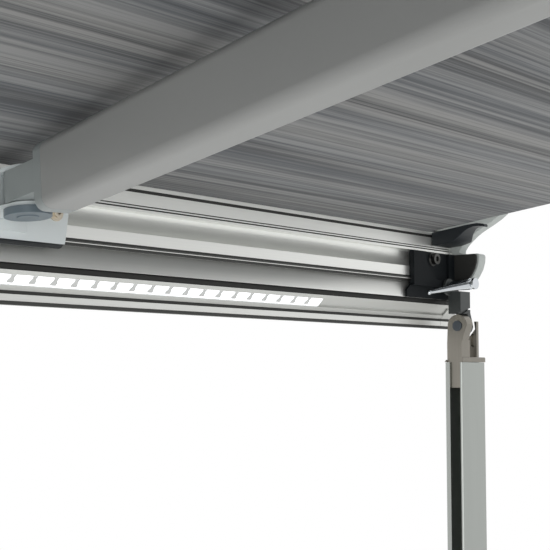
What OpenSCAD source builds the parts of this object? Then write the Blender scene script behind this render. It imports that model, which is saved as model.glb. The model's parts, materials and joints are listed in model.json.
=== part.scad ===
// Roll out awning for the side of a caravan or camper, shown rolled out with its legs down.
// Units are millimetres. The vehicle wall is the plane y = 0 and the awning reaches towards -Y.
// The origin is the middle of the centre wall bracket's back face. Z points up.

/* [Awning] */
// Length of the cassette and of the lead rail
awning_len = 3500; // [3300:10:4500]
// Angle of the open arms from straight out, in degrees
open_angle = 11; // [9:1:16]
// Fall of the arms towards the lead rail, in degrees
arm_fall = 5.2; // [4:0.1:6]
// Height of the lead rail's fabric line above the ground
rail_height = 2230; // [2100:10:2400]

/* [Cassette] */
// Height of the cassette
cassette_h = 150; // [148:1:160]
// Depth of the cassette in front of its back wall
cassette_d = 121; // [121:1:130]
// Wall of the cassette extrusion
cassette_wall = 2.5; // [2:0.1:3]
// Depth of the shelf under the arms
shelf_d = 36; // [30:1:38]
// Thickness of the cassette's end caps
cap_t = 11; // [8:1:12]

/* [Wall brackets] */
// Spacing of the outer wall brackets from the centre one
bracket_pitch = 1500; // [1300:10:1600]
// Width of a wall bracket
bracket_w = 120; // [100:1:160]
// Height of the bracket's screw flange above the cassette
bracket_flange = 34; // [30:1:45]
// Spacing of the two wall screws in a bracket
bracket_hole_pitch = 80; // [60:1:90]
// Diameter of a wall screw hole
bracket_hole_d = 8.5; // [6:0.5:10]

/* [Roller] */
// Diameter of the roller tube
roller_d = 50; // [45:1:54]
// Wall of the roller tube
roller_wall = 1.5; // [1.2:0.1:3]
// Thickness of the fabric
fabric_t = 0.8; // [0.6:0.1:1]
// Width of the fabric short of the rail at each end
fabric_inset = 24; // [22:1:60]
// Diameter of the roller's axle
axle_d = 10; // [9:1:12]

/* [Arms] */
// Length of each arm link between its pivots
link_l = 1165; // [1000:5:1165]
// Distance of the arm pivots from the rail's end
arm_inset = 540; // [535:1:545]
// Width of an arm tube
arm_w = 28; // [26:1:28]
// Height of an arm tube
arm_h = 42; // [40:1:42]
// Wall of an arm tube
arm_wall = 2; // [1.5:0.1:3]
// Sideways step of the arm tubes at the elbow pin
elbow_step = 17; // [16:0.5:17]
// Diameter of the arm pivot pins
pin_d = 12; // [10:1:14]
// Outer radius of the pivot eyes
eye_r = 16; // [14:1:16]

/* [Lead rail] */
// Wall of the lead rail extrusion
rail_wall = 2.2; // [1.8:0.1:2.6]
// Height of the front skin above the fabric line
skin_top = 58; // [50:1:58]
// Length of the light strip kept free at each end of the rail
led_inset = 185; // [150:1:250]
// Length of one light in the strip
led_pitch = 18; // [14:1:24]
// Thickness of the light grey end covers
cover_t = 12; // [9:1:12]

/* [Legs] */
// Width of the outer leg
leg_w = 41; // [38:1:41]
// Depth of the outer leg
leg_d = 18.5; // [17:0.5:18.5]
// Wall of the outer leg
leg_wall = 2; // [1.5:0.1:2.5]
// Width of the slot along the outer leg
leg_slot = 10; // [8:0.5:10]
// Length of the outer leg
outer_leg_l = 1250; // [1000:10:1250]
// Overlap of the inner leg inside the outer leg when pulled out
leg_overlap = 250; // [200:10:350]
// How far the inner leg slides up from fully out
leg_travel = 800; // [600:10:800]

/* [Hidden] */
$fn = 48;

// Clearances
gap = 0.3;       // between pieces that only lie against each other
fit = 0.05;      // radial, between a pin and its bore
eps = 0.02;      // overshoot of a cut past the face that it opens

// Colours
c_cassette = [0.80, 0.81, 0.80];
c_rail = [0.74, 0.75, 0.73];
c_black = [0.13, 0.14, 0.16];
c_plate = [0.24, 0.23, 0.22];
c_cover = [0.67, 0.69, 0.67];
c_casting = [0.47, 0.50, 0.51];
c_arm = [0.50, 0.50, 0.49];
c_steel = [0.55, 0.54, 0.50];
c_chrome = [0.80, 0.83, 0.86];
c_leg = [0.66, 0.68, 0.66];
c_led = [0.96, 0.97, 0.98];
c_fabric = [0.34, 0.35, 0.37];
c_rubber = [0.10, 0.10, 0.10];

// Cassette section in y and z. The origin lies a fixed way under its top.
cassette_back = 12;                              // the back wall's outer face
cassette_front = cassette_back + cassette_d;     // the hood's front
cassette_z1 = 66.5;
cassette_z0 = cassette_z1 - cassette_h;
hood_r = 26;                                     // radius of the hood's front corner
back_r = 7;                                      // radius of the back corners
lip_z = cassette_z1 - 17;                        // underside of the hood's rain lip
lip_out = 8;                                     // how far the lip stands out over the closed rail
lip_t = 2.2;
body_half = awning_len / 2 + cover_t + 2.5;      // half length of the cassette extrusion

// Roller
roller_y = -56;
roller_z = 26;
roll_r = roller_d / 2 + 2.4;                     // the turns left on the roller when it is open
fabric_half = awning_len / 2 - fabric_inset;
roller_half = fabric_half + 2;                   // half length of the roller tube

// Arm linkage. The rail's own axes are v, towards the wall, and w, up from the fabric line.
shoulder_x = awning_len / 2 - arm_inset;
shoulder_y = -33;
shoulder_z = -36.3;
wrist_v = 38.5;
wrist_w = -22;
reach = 2 * link_l * cos(open_angle);
rail_y = shoulder_y - reach * cos(arm_fall) - wrist_v;
rail_z = shoulder_z - reach * sin(arm_fall) - wrist_w;
tongue_h = 20;                                   // height of an eye that sits in a clevis
clevis_h = 40;                                   // outer height of a clevis

// Lead rail section
rail_foot = -91;                                 // lowest edge
led_v0 = 0;                                      // upper edge of the sloping light face
led_w0 = -69;
led_drop = 15;                                   // the light face falls as much as it goes out
skin_foot_v = -22;
skin_top_v = -27;
skin_bulge = 15.5;                               // how far the front skin stands out of its chord
led_w = 11;                                      // width of the light strip
led_deep = 1.6;                                  // depth of its recess
led_count = floor((awning_len - 2 * led_inset) / led_pitch);

// End of the rail: s counts outwards from the rail's end
swivel_s = -16;
swivel_w = -52.5;
swivel_v0 = 6.5;                                 // back face of the swivel
leg_s = 6;                                       // middle of the leg
leg_v = 11;
lean_v = 14.5;
lean_w = -89.6;
ear_t = 13;                                      // the fork's inner ear
lug_t = 9;                                       // the swivel's lug between the ears
outer_leg_w1 = -124;                             // top of the outer leg
outer_leg_w0 = outer_leg_w1 - outer_leg_l;
inner_leg_w1 = outer_leg_w0 + leg_overlap;
inner_w = leg_w - 2 * leg_wall - 0.8;
inner_d = leg_d - 2 * leg_wall - 0.8;
foot_w0 = -rail_height;                          // the foot's sole
foot_h = 26;
clamp_h = 46;
lever_v = leg_v + leg_d / 2 + 9;                 // the clamp lever's pivot
lever_w = outer_leg_w0 + 14;
lever_l = 62;

// Points along an arc about c, of radius r, from a0 to a1 degrees
function arc(c, r, a0, a1, n) =
    [for (i = [0:n]) [c[0] + r * cos(a0 + (a1 - a0) * i / n), c[1] + r * sin(a0 + (a1 - a0) * i / n)]];

// Centre and radius of the arc through a and b that bulges by h to the left of a to b
function bulge_r(a, b, h) = let (c = norm(b - a)) c * c / (8 * h) + h / 2;
function bulge_c(a, b, h) =
    let (c = norm(b - a), m = (a + b) / 2, n = [-(b[1] - a[1]), b[0] - a[0]] / c)
    m - n * (bulge_r(a, b, h) - h);
function heading(p) = atan2(p[1], p[0]);

// Rectangle from a to b with round corners
module round_box_2d(a, b, r) {
    translate([a[0] + r, a[1]]) square([b[0] - a[0] - 2 * r, b[1] - a[1]]);
    translate([a[0], a[1] + r]) square([b[0] - a[0], b[1] - a[1] - 2 * r]);
    for (x = [a[0] + r, b[0] - r], y = [a[1] + r, b[1] - r]) translate([x, y]) circle(r);
}

// A section drawn in (y, z) run along X from x0 to x1
module along_x(x0, x1) {
    translate([x0, 0, 0]) rotate([90, 0, 90]) linear_extrude(x1 - x0) children();
}

module axis_x(x0, x1, y, z, r) {
    translate([x0, y, z]) rotate([0, 90, 0]) cylinder(r = r, h = x1 - x0);
}

module axis_y(y0, y1, x, z, r) {
    translate([x, y1, z]) rotate([90, 0, 0]) cylinder(r = r, h = y1 - y0);
}

// side is 1 for the right end, at +X, and -1 for the left end
module on_side(side) {
    if (side > 0) children();
    else mirror([1, 0, 0]) children();
}

module in_rail() {
    translate([0, rail_y, rail_z]) children();
}

// The end of the rail: x is s, y is v and z is w
module at_rail_end(side) {
    on_side(side) translate([awning_len / 2, rail_y, rail_z]) children();
}

/* Cassette */

module cassette_outline(inset) {
    y0 = -cassette_front + inset;
    y1 = -cassette_back - inset;
    z0 = cassette_z0 + inset;
    z1 = cassette_z1 - inset;
    ro = hood_r - inset;
    ri = back_r - inset;
    polygon(concat(
        arc([y1 - ri, z0 + ri], ri, -90, 0, 6),
        arc([y1 - ri, z1 - ri], ri, 0, 90, 6),
        arc([y0 + ro, z1 - ro], ro, 90, 180, 14),
        [[y0, z0]]));
}

module cassette_section() {
    difference() {
        cassette_outline(0);
        cassette_outline(cassette_wall);
        translate([-cassette_front - 1, cassette_z0 - 1])
            square([cassette_d - shelf_d + 1, lip_z - cassette_z0 + 1]);
    }
    // rain lip of the hood, screw bosses and the upturned edge of the shelf
    translate([-cassette_front - lip_out, lip_z]) square([lip_out + 6, lip_t]);
    for (p = boss_places) translate(p) difference() {
        circle(5);
        circle(2.1);
        rotate(boss_open(p)) translate([0, -1.3]) square([6, 2.6]);
    }
    translate([-cassette_back - shelf_d, cassette_z0]) square([2.2, 7]);
}

boss_places = [
    [-cassette_back - 7.2, cassette_z1 - 7.2],
    [-cassette_front + 36, cassette_z1 - 7.2],
    [-cassette_back - 7.2, cassette_z0 + 7.2]];
function boss_open(p) = p[1] > 0 ? -90 : 90;

module cassette_housing() color(c_cassette) difference() {
    along_x(-body_half, body_half) cassette_section();
    // way for the crank shaft, and the clamp screws of the wall brackets
    translate([crank_x, crank_y, cassette_z0 - 1]) cylinder(r = 9, h = 12);
    for (x = [-bracket_pitch, 0, bracket_pitch])
        translate([x, -cassette_back - 20, cassette_z0 - 1]) cylinder(r = 3.2, h = 8);
}

// The lower front corner is cut back along a slope, and the rail's own end closes it
module cassette_cap_outline() {
    difference() {
        cassette_outline(0);
        polygon([[-cassette_front - 1, cassette_z0 + 60], [-cassette_front + 44, cassette_z0 - 1],
                 [-cassette_front - 1, cassette_z0 - 1]]);
    }
}

module cassette_cap(side) color(c_cover) on_side(side) difference() {
    union() {
        along_x(body_half + gap, body_half + cap_t) cassette_cap_outline();
        // raised ring round the roller's bush
        axis_x(body_half + gap, body_half + cap_t + 1.5, roller_y, roller_z, 17);
    }
    axis_x(body_half - 1, body_half + cap_t - 2, roller_y, roller_z, bush_r);
    for (p = boss_places) {
        axis_x(body_half, body_half + cap_t + 1, p[0], p[1], 2.5);
        axis_x(body_half + cap_t - 3, body_half + cap_t + 1, p[0], p[1], 4.6);
    }
}

module cap_screws() color(c_steel) for (side = [-1, 1]) on_side(side) for (p = boss_places) {
    difference() {
        axis_x(body_half + cap_t - 3, body_half + cap_t - 0.4, p[0], p[1], 4.3);
        axis_x(body_half + cap_t - 2, body_half + cap_t, p[0], p[1], 1.8, $fn = 6);
    }
    axis_x(body_half - 18, body_half + cap_t - 3, p[0], p[1], 2);
}

// Rubber strip under the rain lip
module seal_strip() color(c_rubber) translate([0, -cassette_front - lip_out, lip_z])
    along_x(-body_half, body_half)
        polygon([[0.6, -eps], [5.8, -eps], [4.8, -1.6], [3.2, -2.4], [1.6, -1.6]]);

module wall_bracket_section() {
    top = cassette_z1 + gap;
    low = cassette_z0 - gap;
    square_y = cassette_back - gap;
    translate([-square_y, low - 8]) square([square_y, cassette_h + 8 + bracket_flange]);
    // hook over the cassette's top
    translate([-square_y - 26, top]) square([27, 5]);
    // ledge that the cassette stands on
    polygon([[-square_y, low], [-square_y - 30, low], [-square_y - 30, low - 5],
             [-square_y - 12, low - 8], [-square_y, low - 18], [-square_y + 1, low - 8]]);
    translate([-square_y, low - 18]) square([5, 11]);
}

module wall_brackets() color(c_casting) for (x = [-bracket_pitch, 0, bracket_pitch]) {
    difference() {
        translate([x, 0, 0]) along_x(-bracket_w / 2, bracket_w / 2) wall_bracket_section();
        for (dx = [-1, 1] * bracket_hole_pitch / 2)
            axis_y(-cassette_back - 1, 1, x + dx, bracket_hole_z, bracket_hole_d / 2);
        translate([x, -cassette_back - 20, cassette_z0 - 20]) cylinder(r = 3.2, h = 30);
        // lightening pockets beside the holes
        translate([x, 0, bracket_hole_z]) rotate([90, 0, 0])
            translate([0, 0, 4]) linear_extrude(20)
                round_box_2d([-bracket_hole_pitch / 2 + 14, -9], [bracket_hole_pitch / 2 - 14, 9], 4);
    }
}
bracket_hole_z = cassette_z1 + bracket_flange - 14;

module bracket_screws() color(c_steel) for (x = [-bracket_pitch, 0, bracket_pitch]) {
    low = cassette_z0 - gap - 7;
    translate([x, -cassette_back - 20, low - 4.5]) difference() {
        cylinder(r = 5, h = 4);
        translate([0, 0, -eps]) cylinder(r = 2.5, h = 2.2, $fn = 6);
    }
    translate([x, -cassette_back - 20, low - 1]) cylinder(r = 3, h = 14);
}

/* Roller and gearbox */

module roller_tube() color(c_cassette) difference() {
    axis_x(-roller_half, roller_half, roller_y, roller_z, roller_d / 2);
    axis_x(-roller_half - 1, roller_half + 1, roller_y, roller_z, roller_d / 2 - roller_wall);
}

// A plug with a flange in each end of the tube, and the axle stub that is pressed in its bore
plug_l = 40;
plug_bore_l = 30;

module roller_plugs() color(c_black) for (side = [-1, 1]) on_side(side) {
    difference() {
        union() {
            axis_x(roller_half - plug_l, roller_half + 2, roller_y, roller_z, roller_d / 2 - roller_wall);
            axis_x(roller_half + eps, roller_half + 2, roller_y, roller_z, roller_d / 2);
        }
        axis_x(roller_half - plug_bore_l, roller_half + 3, roller_y, roller_z, axle_d / 2 + fit);
    }
    axis_x(roller_half - plug_bore_l + gap, body_half + cap_t - 2.5, roller_y, roller_z, axle_d / 2);
}

bush_r = axle_d / 2 + 3;

module roller_bushes() color(c_cover) for (side = [-1, 1]) on_side(side) difference() {
    axis_x(body_half + gap, body_half + cap_t - 2, roller_y, roller_z, bush_r);
    axis_x(body_half, body_half + cap_t, roller_y, roller_z, axle_d / 2 + fit);
}

module fabric_roll() color(c_fabric) difference() {
    axis_x(-fabric_half, fabric_half, roller_y, roller_z, roll_r);
    axis_x(-fabric_half - 1, fabric_half + 1, roller_y, roller_z, roller_d / 2);
}

wheel_r = 18;
worm_r = 5.5;
crank_x = roller_half + 12;
crank_y = roller_y + wheel_r + worm_r + 0.6;
wheel_teeth = 32;

module worm_wheel() color([0.72, 0.60, 0.34]) difference() {
    axis_x(crank_x - 6, crank_x + 4, roller_y, roller_z, wheel_r);
    axis_x(crank_x - 7, crank_x + 5, roller_y, roller_z, axle_d / 2);
    for (i = [0:wheel_teeth - 1]) {
        a = 360 * i / wheel_teeth;
        axis_x(crank_x - 7, crank_x + 5,
            roller_y + (wheel_r + 0.5) * cos(a), roller_z + (wheel_r + 0.5) * sin(a), 1.1);
    }
}

module worm() color(c_steel) difference() {
    union() {
        translate([crank_x, crank_y, roller_z - 12]) cylinder(r = worm_r, h = 24);
        // thread, drawn as its pitch cylinder with grooves
        translate([crank_x, crank_y, roller_z - 15]) cylinder(r = 4.2, h = 30);
    }
    for (i = [0:4])
        translate([crank_x, crank_y, roller_z - 9.5 + 4 * i]) rotate_extrude()
            translate([worm_r - 1.1, 0]) square([2, 1.8]);
    translate([crank_x, crank_y, roller_z - 16]) cylinder(r = 2.5, h = 32, $fn = 6);
}

crank_eye_z = cassette_z0 - 31;

module crank_shaft() color(c_steel) {
    // hexagonal drive in the worm, round shaft below, and the eye that the winding hook takes
    translate([crank_x, crank_y, roller_z - 15]) cylinder(r = 2.5, h = 28, $fn = 6);
    translate([crank_x, crank_y, crank_eye_z + 12]) cylinder(r = 4, h = roller_z - 15.5 - crank_eye_z - 12 + 0.5);
    difference() {
        union() {
            axis_y(crank_y - 4, crank_y + 4, crank_x, crank_eye_z, 14);
            translate([crank_x, crank_y, crank_eye_z + 10]) cylinder(r = 6.5, h = 12);
        }
        axis_y(crank_y - 5, crank_y + 5, crank_x, crank_eye_z, 8.5);
    }
}

gear_x0 = roller_half + 2.5;
gear_x1 = awning_len / 2 - 0.5;

// The housing stands on the cassette's back wall
module gearbox_housing() color(c_black) difference() {
    union() {
        along_x(gear_x0, gear_x1) round_box_2d([roller_y - 25, roller_z - 26],
            [-cassette_back - cassette_wall - gap, roller_z + 27], 6);
        // neck that guides the crank shaft
        translate([crank_x, crank_y, roller_z - 42]) cylinder(r = 8, h = 18);
    }
    axis_x(gear_x0 + 2, gear_x1 - 2, roller_y, roller_z, wheel_r + 1);
    axis_x(roller_half, body_half, roller_y, roller_z, axle_d / 2 + 0.6);
    translate([crank_x, crank_y, roller_z - 18]) cylinder(r = worm_r + 0.8, h = 36);
    translate([crank_x, crank_y, roller_z - 43]) cylinder(r = 4 + fit, h = 40);
}

/* Fabric between the roller and the lead rail */

// The fabric leaves the top of the roll and ends at the cord in the rail's groove
keder_r = 3.2;
keder_v = -4.6;
fabric_a = [roller_y, roller_z];
fabric_b = [rail_y + keder_v + keder_r + gap, rail_z];
fabric_run = norm(fabric_b - fabric_a);
fabric_lift = asin((roll_r + gap + fabric_t / 2) / fabric_run);
fabric_dir = heading(fabric_b - fabric_a) - fabric_lift;
fabric_start = fabric_a + (roll_r + gap + fabric_t / 2) * [cos(fabric_dir - 90), sin(fabric_dir - 90)];

module fabric_canopy() color(c_fabric)
    along_x(-fabric_half, fabric_half) {
        d = (fabric_b - fabric_start) / norm(fabric_b - fabric_start);
        n = [-d[1], d[0]] * fabric_t / 2;
        polygon([fabric_start - n, fabric_b - n, fabric_b + n, fabric_start + n]);
    }

/* Arms */

// Frame of the right arm's upper link: x runs from the shoulder to the elbow, z along the pins
module upper_frame(side) {
    on_side(side) translate([shoulder_x, shoulder_y, shoulder_z])
        rotate([arm_fall, 0, 0]) rotate(-90 - open_angle) children();
}

// Frame of the right forearm: x runs from the wrist to the elbow
module forearm_frame(side) {
    on_side(side) translate([shoulder_x, rail_y + wrist_v, rail_z + wrist_w])
        rotate([arm_fall, 0, 0]) rotate(90 + open_angle) children();
}

tube_a = 46;                                     // from the shoulder or wrist pin to the tube
tube_b = 44;                                     // from the tube to the elbow pin
tube_turn = atan(elbow_step / link_l);
tube_sink = -1.5;                                // the tubes hang a little under the pivot plane

// turn is 1 where the tube steps to the left of the link and -1 where it steps to the right
module in_tube(turn) {
    rotate(turn * tube_turn) translate([0, 0, tube_sink]) children();
}

module tube_section(inset) {
    round_box_2d([-arm_w / 2 + inset, -arm_h / 2 + inset],
        [arm_w / 2 - inset, arm_h / 2 - inset], 7 - inset);
}

module arm_tube(turn) color(c_arm) in_tube(turn)
    translate([tube_a, 0, 0]) rotate([90, 0, 90]) linear_extrude(link_l - tube_a - tube_b) difference() {
        tube_section(0);
        tube_section(arm_wall);
    }

// Tongue that turns between the ears of a clevis
module tongue(root) {
    linear_extrude(tongue_h, center = true) {
        circle(eye_r - 2);
        polygon([[0, -eye_r + 2], [root, -eye_r + 3], [root, eye_r - 3], [0, eye_r - 2]]);
    }
}

module pin_bore() {
    translate([0, 0, -30]) cylinder(r = pin_d / 2 + fit, h = 60);
}

// Plug that closes the tube and carries the tongue or ears
module tube_plug(turn, at_elbow) {
    in_tube(turn) {
        u0 = at_elbow ? link_l - tube_b : tube_a - 9;
        translate([u0, 0, 0]) rotate([90, 0, 90]) linear_extrude(9) tube_section(0);
        u1 = at_elbow ? link_l - tube_b - 40 : tube_a - 1;
        translate([u1, 0, 0]) rotate([90, 0, 90]) linear_extrude(41)
            tube_section(arm_wall + 0.15);
    }
}

// The neck runs from the plug to the elbow pin. It keeps to its own side of the link's line, so that
// the two arms fold side by side, and turn gives that side.
neck_clear_r = eye_r + 3;

module elbow_neck(turn, r) translate([link_l, 0]) scale([1, turn]) {
    polygon([
        [-tube_b + 8, elbow_step - arm_w / 2 + 1], [-tube_b + 8, elbow_step + arm_w / 2 - 4],
        [-20, r + 8], [0, r], [0, -r], [-8, -r + 4], [-neck_clear_r + 2, 1]]);
    circle(r);
}

// Upper arm: a tongue at the shoulder and a clevis at the elbow
module upper_castings(side) color(c_casting) upper_frame(side) difference() {
    union() {
        tongue(tube_a - 8);
        tube_plug(-1, false);
        tube_plug(-1, true);
        difference() {
            translate([0, 0, -clevis_h / 2]) linear_extrude(clevis_h) elbow_neck(-1, eye_r);
            // the forearm's tongue turns in this gap
            translate([link_l, 0, -tongue_h / 2 - gap])
                cylinder(r = eye_r + 4, h = tongue_h + 2 * gap);
        }
        translate([link_l, 0, clevis_h / 2 - eps]) cylinder(r = 11, h = 1.6);
    }
    pin_bore();
    translate([link_l, 0, 0]) pin_bore();
}

// Forearm: a tongue at the elbow and one at the wrist
module forearm_castings(side) color(c_casting) forearm_frame(side) difference() {
    union() {
        tongue(tube_a - 8);
        tube_plug(1, false);
        tube_plug(1, true);
        linear_extrude(tongue_h, center = true) elbow_neck(1, eye_r - 2);
        // the neck grows to the tube's height clear of the clevis
        difference() {
            linear_extrude(clevis_h - 4, center = true) elbow_neck(1, eye_r);
            translate([link_l, 0, -30]) cylinder(r = neck_clear_r, h = 60);
        }
    }
    pin_bore();
    translate([link_l, 0, 0]) pin_bore();
}

module elbow_pin(side) color(c_steel) upper_frame(side) translate([link_l, 0, 0]) {
    translate([0, 0, -clevis_h / 2 - 2]) cylinder(r = pin_d / 2, h = clevis_h + 5.6);
    translate([0, 0, clevis_h / 2 + 1.6]) cylinder(r = 8.5, h = 3);
    translate([0, 0, -clevis_h / 2 - 2.6]) cylinder(r = 8, h = 2.2);
}

// Tension spring inside the upper tube, hooked on its two plugs
module arm_spring(side) color(c_steel) upper_frame(side) in_tube(-1) {
    u0 = tube_a + 41;
    u1 = link_l - tube_b - 41;
    axis_x(u0, u0 + 60, 0, 0, 2.5);
    axis_x(u1 - 300, u1, 0, 0, 2.5);
    axis_x(u0 + 50, u1 - 290, 0, 0, 9.5);
}

module shoulder_bracket(side) {
    base_y = -cassette_back - cassette_wall - gap;
    on_side(side) difference() {
        union() {
            // plate against the cassette's back
            translate([shoulder_x - 22, base_y - 5, shoulder_z - clevis_h / 2 - 4])
                cube([88, 5, clevis_h + 10]);
            translate([shoulder_x, shoulder_y, shoulder_z]) rotate([arm_fall, 0, 0]) intersection() {
                linear_extrude(clevis_h, center = true) {
                    circle(eye_r - 1);
                    polygon([[0, -eye_r + 1], [38, -4], [56, 12], [56, 16], [-eye_r + 1, 16], [-eye_r + 1, 0]]);
                }
                translate([-40, -40, -clevis_h / 2]) cube([120, 80, clevis_h]);
            }
            // rib up to the cassette's back
            translate([shoulder_x + 20, base_y - 16, shoulder_z + 8])
                cube([30, 16, 12]);
        }
        // the arm's tongue and tube turn in this gap
        translate([shoulder_x, shoulder_y, shoulder_z]) rotate([arm_fall, 0, 0]) {
            translate([0, 0, -tongue_h / 2 - gap]) cylinder(r = eye_r + 1, h = tongue_h + 2 * gap);
            translate([0, 0, -tongue_h / 2 - gap]) linear_extrude(tongue_h + 2 * gap)
                polygon([[0, -eye_r - 1], [0, eye_r + 1], [-60, eye_r + 1], [-60, -60], [eye_r + 1, -60], [eye_r + 1, 0]]);
            pin_bore();
        }
        // nothing of the bracket reaches behind the cassette's wall
        translate([shoulder_x - 100, base_y, shoulder_z - 60]) cube([220, 60, 120]);
    }
}

module shoulder_brackets() color(c_casting) for (side = [-1, 1]) shoulder_bracket(side);

module shoulder_pins() color(c_steel) for (side = [-1, 1]) on_side(side)
    translate([shoulder_x, shoulder_y, shoulder_z]) rotate([arm_fall, 0, 0]) {
        translate([0, 0, -clevis_h / 2]) cylinder(r = pin_d / 2, h = clevis_h);
        translate([0, 0, clevis_h / 2 + eps]) cylinder(r = 8, h = 2.5);
        translate([0, 0, clevis_h / 2 - 1]) cylinder(r = pin_d / 2, h = 2);
    }

/* Lead rail */

skin_a = [skin_foot_v, rail_foot];
skin_b = [skin_top_v, skin_top];
skin_r = bulge_r(skin_a, skin_b, skin_bulge);
skin_c = bulge_c(skin_a, skin_b, skin_bulge);

// Points of the front skin from its foot to the height w, set in by t
function skin_v(w, t) = skin_c[0] - sqrt(pow(skin_r - t, 2) - pow(w - skin_c[1], 2));
function skin_line(w0, w1, t, n) = [for (i = [0:n]) let (w = w0 + (w1 - w0) * i / n) [skin_v(w, t), w]];

box_top = 5;                                     // top of the hollow box, over the groove
rib_w = -47.6;                                   // the small rib's lower edge
rib_h = 1.8;
rib_v = 1.4;

// Box of the rail with the channels and lines of its wall side
module rail_box_section() {
    difference() {
        polygon(concat(
            skin_line(rail_foot, box_top, 0, 18),
            [[0, box_top], [0, led_w0], [-led_drop, led_w0 - led_drop],
             [-led_drop + 0.6, led_w0 - led_drop - 1.6], [-led_drop + 2.2, led_w0 - led_drop - 2.2],
             [-led_drop + 2.2, rail_foot + 2], [-led_drop, rail_foot]]));
        // upper concave channel
        translate([5.2, -28]) circle(9.4);
        // lower concave channel
        translate([5.4, -57]) circle(9.4);
        // lines in the face
        translate([-1.2, -4.6]) square([2, 2.2]);
        translate([-1.4, -17.2]) square([2, 1.2]);
        translate([-1.2, -67.4]) square([2, 2.6]);
        translate([-1, -45.4]) square([2, 1]);
        translate([-1, -48.8]) square([2, 1]);
    }
}

// Blade of the front skin above the box
module rail_blade_section() {
    polygon(concat(
        skin_line(box_top - 1, skin_top, 0, 10),
        [for (i = [10:-1:0]) let (w = box_top - 1 + (skin_top - box_top + 1) * i / 10)
            [skin_v(w, rail_wall + 0.4), w]]));
}

module rail_hollow_section() {
    difference() {
        offset(delta = -rail_wall) difference() {
            intersection() {
                rail_box_section();
                translate([-60, rail_foot - 1]) square([60, box_top - rail_foot + 1]);
            }
            translate([keder_v, 0]) circle(keder_r + 0.5);
        }
        translate([-60, -40.8]) square([60, rail_wall]);
        translate([-60, -15.6]) square([60, rail_wall]);
        translate([-60, led_w0 + 4]) square([60, rail_wall]);
    }
}

// Groove that holds the cord sewn in the fabric's hem
module keder_groove() {
    translate([keder_v, 0]) circle(keder_r + 0.25);
    translate([keder_v, -1.5]) square([8, 3]);
}

// Frame on the sloping light face: x along the rail, y up the slope, z out of the face
module on_light_face() {
    translate([0, led_v0 - led_drop / 2, led_w0 - led_drop / 2]) rotate([45, 0, 0])
        rotate([0, 180, 0]) children();
}

led_y = 0.6;
led_half = led_count * led_pitch / 2;

// The length of the rail, and a little more on both ends for a cut
module rail_run(over = 0) {
    along_x(-awning_len / 2 - over, awning_len / 2 + over) children();
}

module lead_rail() color(c_rail) in_rail() difference() {
    union() {
        rail_run() rail_box_section();
        rail_run() rail_blade_section();
        // bead along the blade's top
        axis_x(-awning_len / 2, awning_len / 2, skin_v(skin_top, 1.3) + 0.2, skin_top - 0.6, 1.7);
        // gutter behind the blade
        rail_run() translate([skin_v(skin_top - 12, rail_wall) - 0.4, skin_top - 13.5]) square([9, 1.6]);
        rail_run() translate([skin_v(skin_top - 12, rail_wall) + 7, skin_top - 13.5]) square([1.6, 5]);
        // bright rib and the small rib
        rail_run() translate([-1, -20]) square([3.2, 2]);
        rail_run() translate([-1, rib_w]) square([1 + rib_v, rib_h]);
    }
    rail_run(1) rail_hollow_section();
    rail_run(1) keder_groove();
    on_light_face() translate([-awning_len / 2 - 1, led_y - led_w / 2 - 0.4, -led_deep])
        cube([awning_len + 2, led_w + 0.8, led_deep + 1]);
}

// Strip of lights: each light stands up between two narrow gaps
module led_strip() color(c_led) in_rail() on_light_face()
    translate([0, led_y + led_w / 2, -led_deep + 0.02]) rotate([90, 0, 0]) linear_extrude(led_w)
        polygon(concat(
            [[-led_half, 0]],
            [for (i = [0:led_count - 1], p = [[0.8, 0.7], [0.8, 1.4], [led_pitch - 0.8, 1.4], [led_pitch - 0.8, 0.7]])
                [-led_half + led_pitch * i + p[0], p[1]]],
            [[led_half, 0]]));

module keder_rod() color(c_fabric) in_rail()
    axis_x(-fabric_half, fabric_half, keder_v, 0, keder_r);

// Bracket on the rail that carries the wrist of an arm
bracket_lo = -53;
bracket_x0 = -62;
bracket_x1 = 54;

module arm_bracket(side) {
    on_side(side) translate([shoulder_x, rail_y, rail_z]) difference() {
        union() {
            // face plate with its sloping foot
            along_x(bracket_x0, bracket_x1) polygon([
                [2.5, -22.5], [10, -25], [10, bracket_lo + 6], [7, bracket_lo + 3], [2.5, bracket_lo]]);
            // clevis
            translate([0, wrist_v, wrist_w]) rotate([arm_fall, 0, 0])
                linear_extrude(clevis_h, center = true) {
                    circle(eye_r);
                    polygon([[-eye_r, 0], [eye_r, 0], [30, -30], [-30, -30]]);
                }
            // web from the rail's face up to the clevis
            translate([-30, 2.6, -45]) cube([60, 8, 43.5]);
        }
        translate([0, wrist_v, wrist_w]) rotate([arm_fall, 0, 0]) {
            translate([0, 0, -tongue_h / 2 - gap]) cylinder(r = eye_r + 3, h = tongue_h + 2 * gap);
            translate([0, 0, -tongue_h / 2 - gap]) linear_extrude(tongue_h + 2 * gap)
                polygon([[0, -eye_r - 3], [0, 60], [-60, 60], [-60, -eye_r - 3 + 5], [-20, -eye_r - 3]]);
            pin_bore();
        }
        // nothing reaches into the rail or past the fabric
        translate([-200, -60, -100]) cube([400, 62.5, 200]);
        translate([-200, -60, 3]) cube([400, 200, 100]);
        // pocket behind the wrist
        for (x = bracket_bolt_x) axis_y(-1, 30, x, bracket_bolt_w, 4.2);
    }
}
bracket_bolt_x = [-44, 42];
bracket_bolt_w = -34;

module arm_brackets() color(c_casting) for (side = [-1, 1]) arm_bracket(side);

module wrist_pins() color(c_steel) for (side = [-1, 1]) on_side(side)
    translate([shoulder_x, rail_y + wrist_v, rail_z + wrist_w]) rotate([arm_fall, 0, 0]) {
        r = side > 0 ? pin_d / 2 - 0.35 : pin_d / 2;
        translate([0, 0, -clevis_h / 2]) cylinder(r = r, h = clevis_h - 2);
        translate([0, 0, -clevis_h / 2 - 3]) cylinder(r = 8, h = 3);
    }

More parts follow.
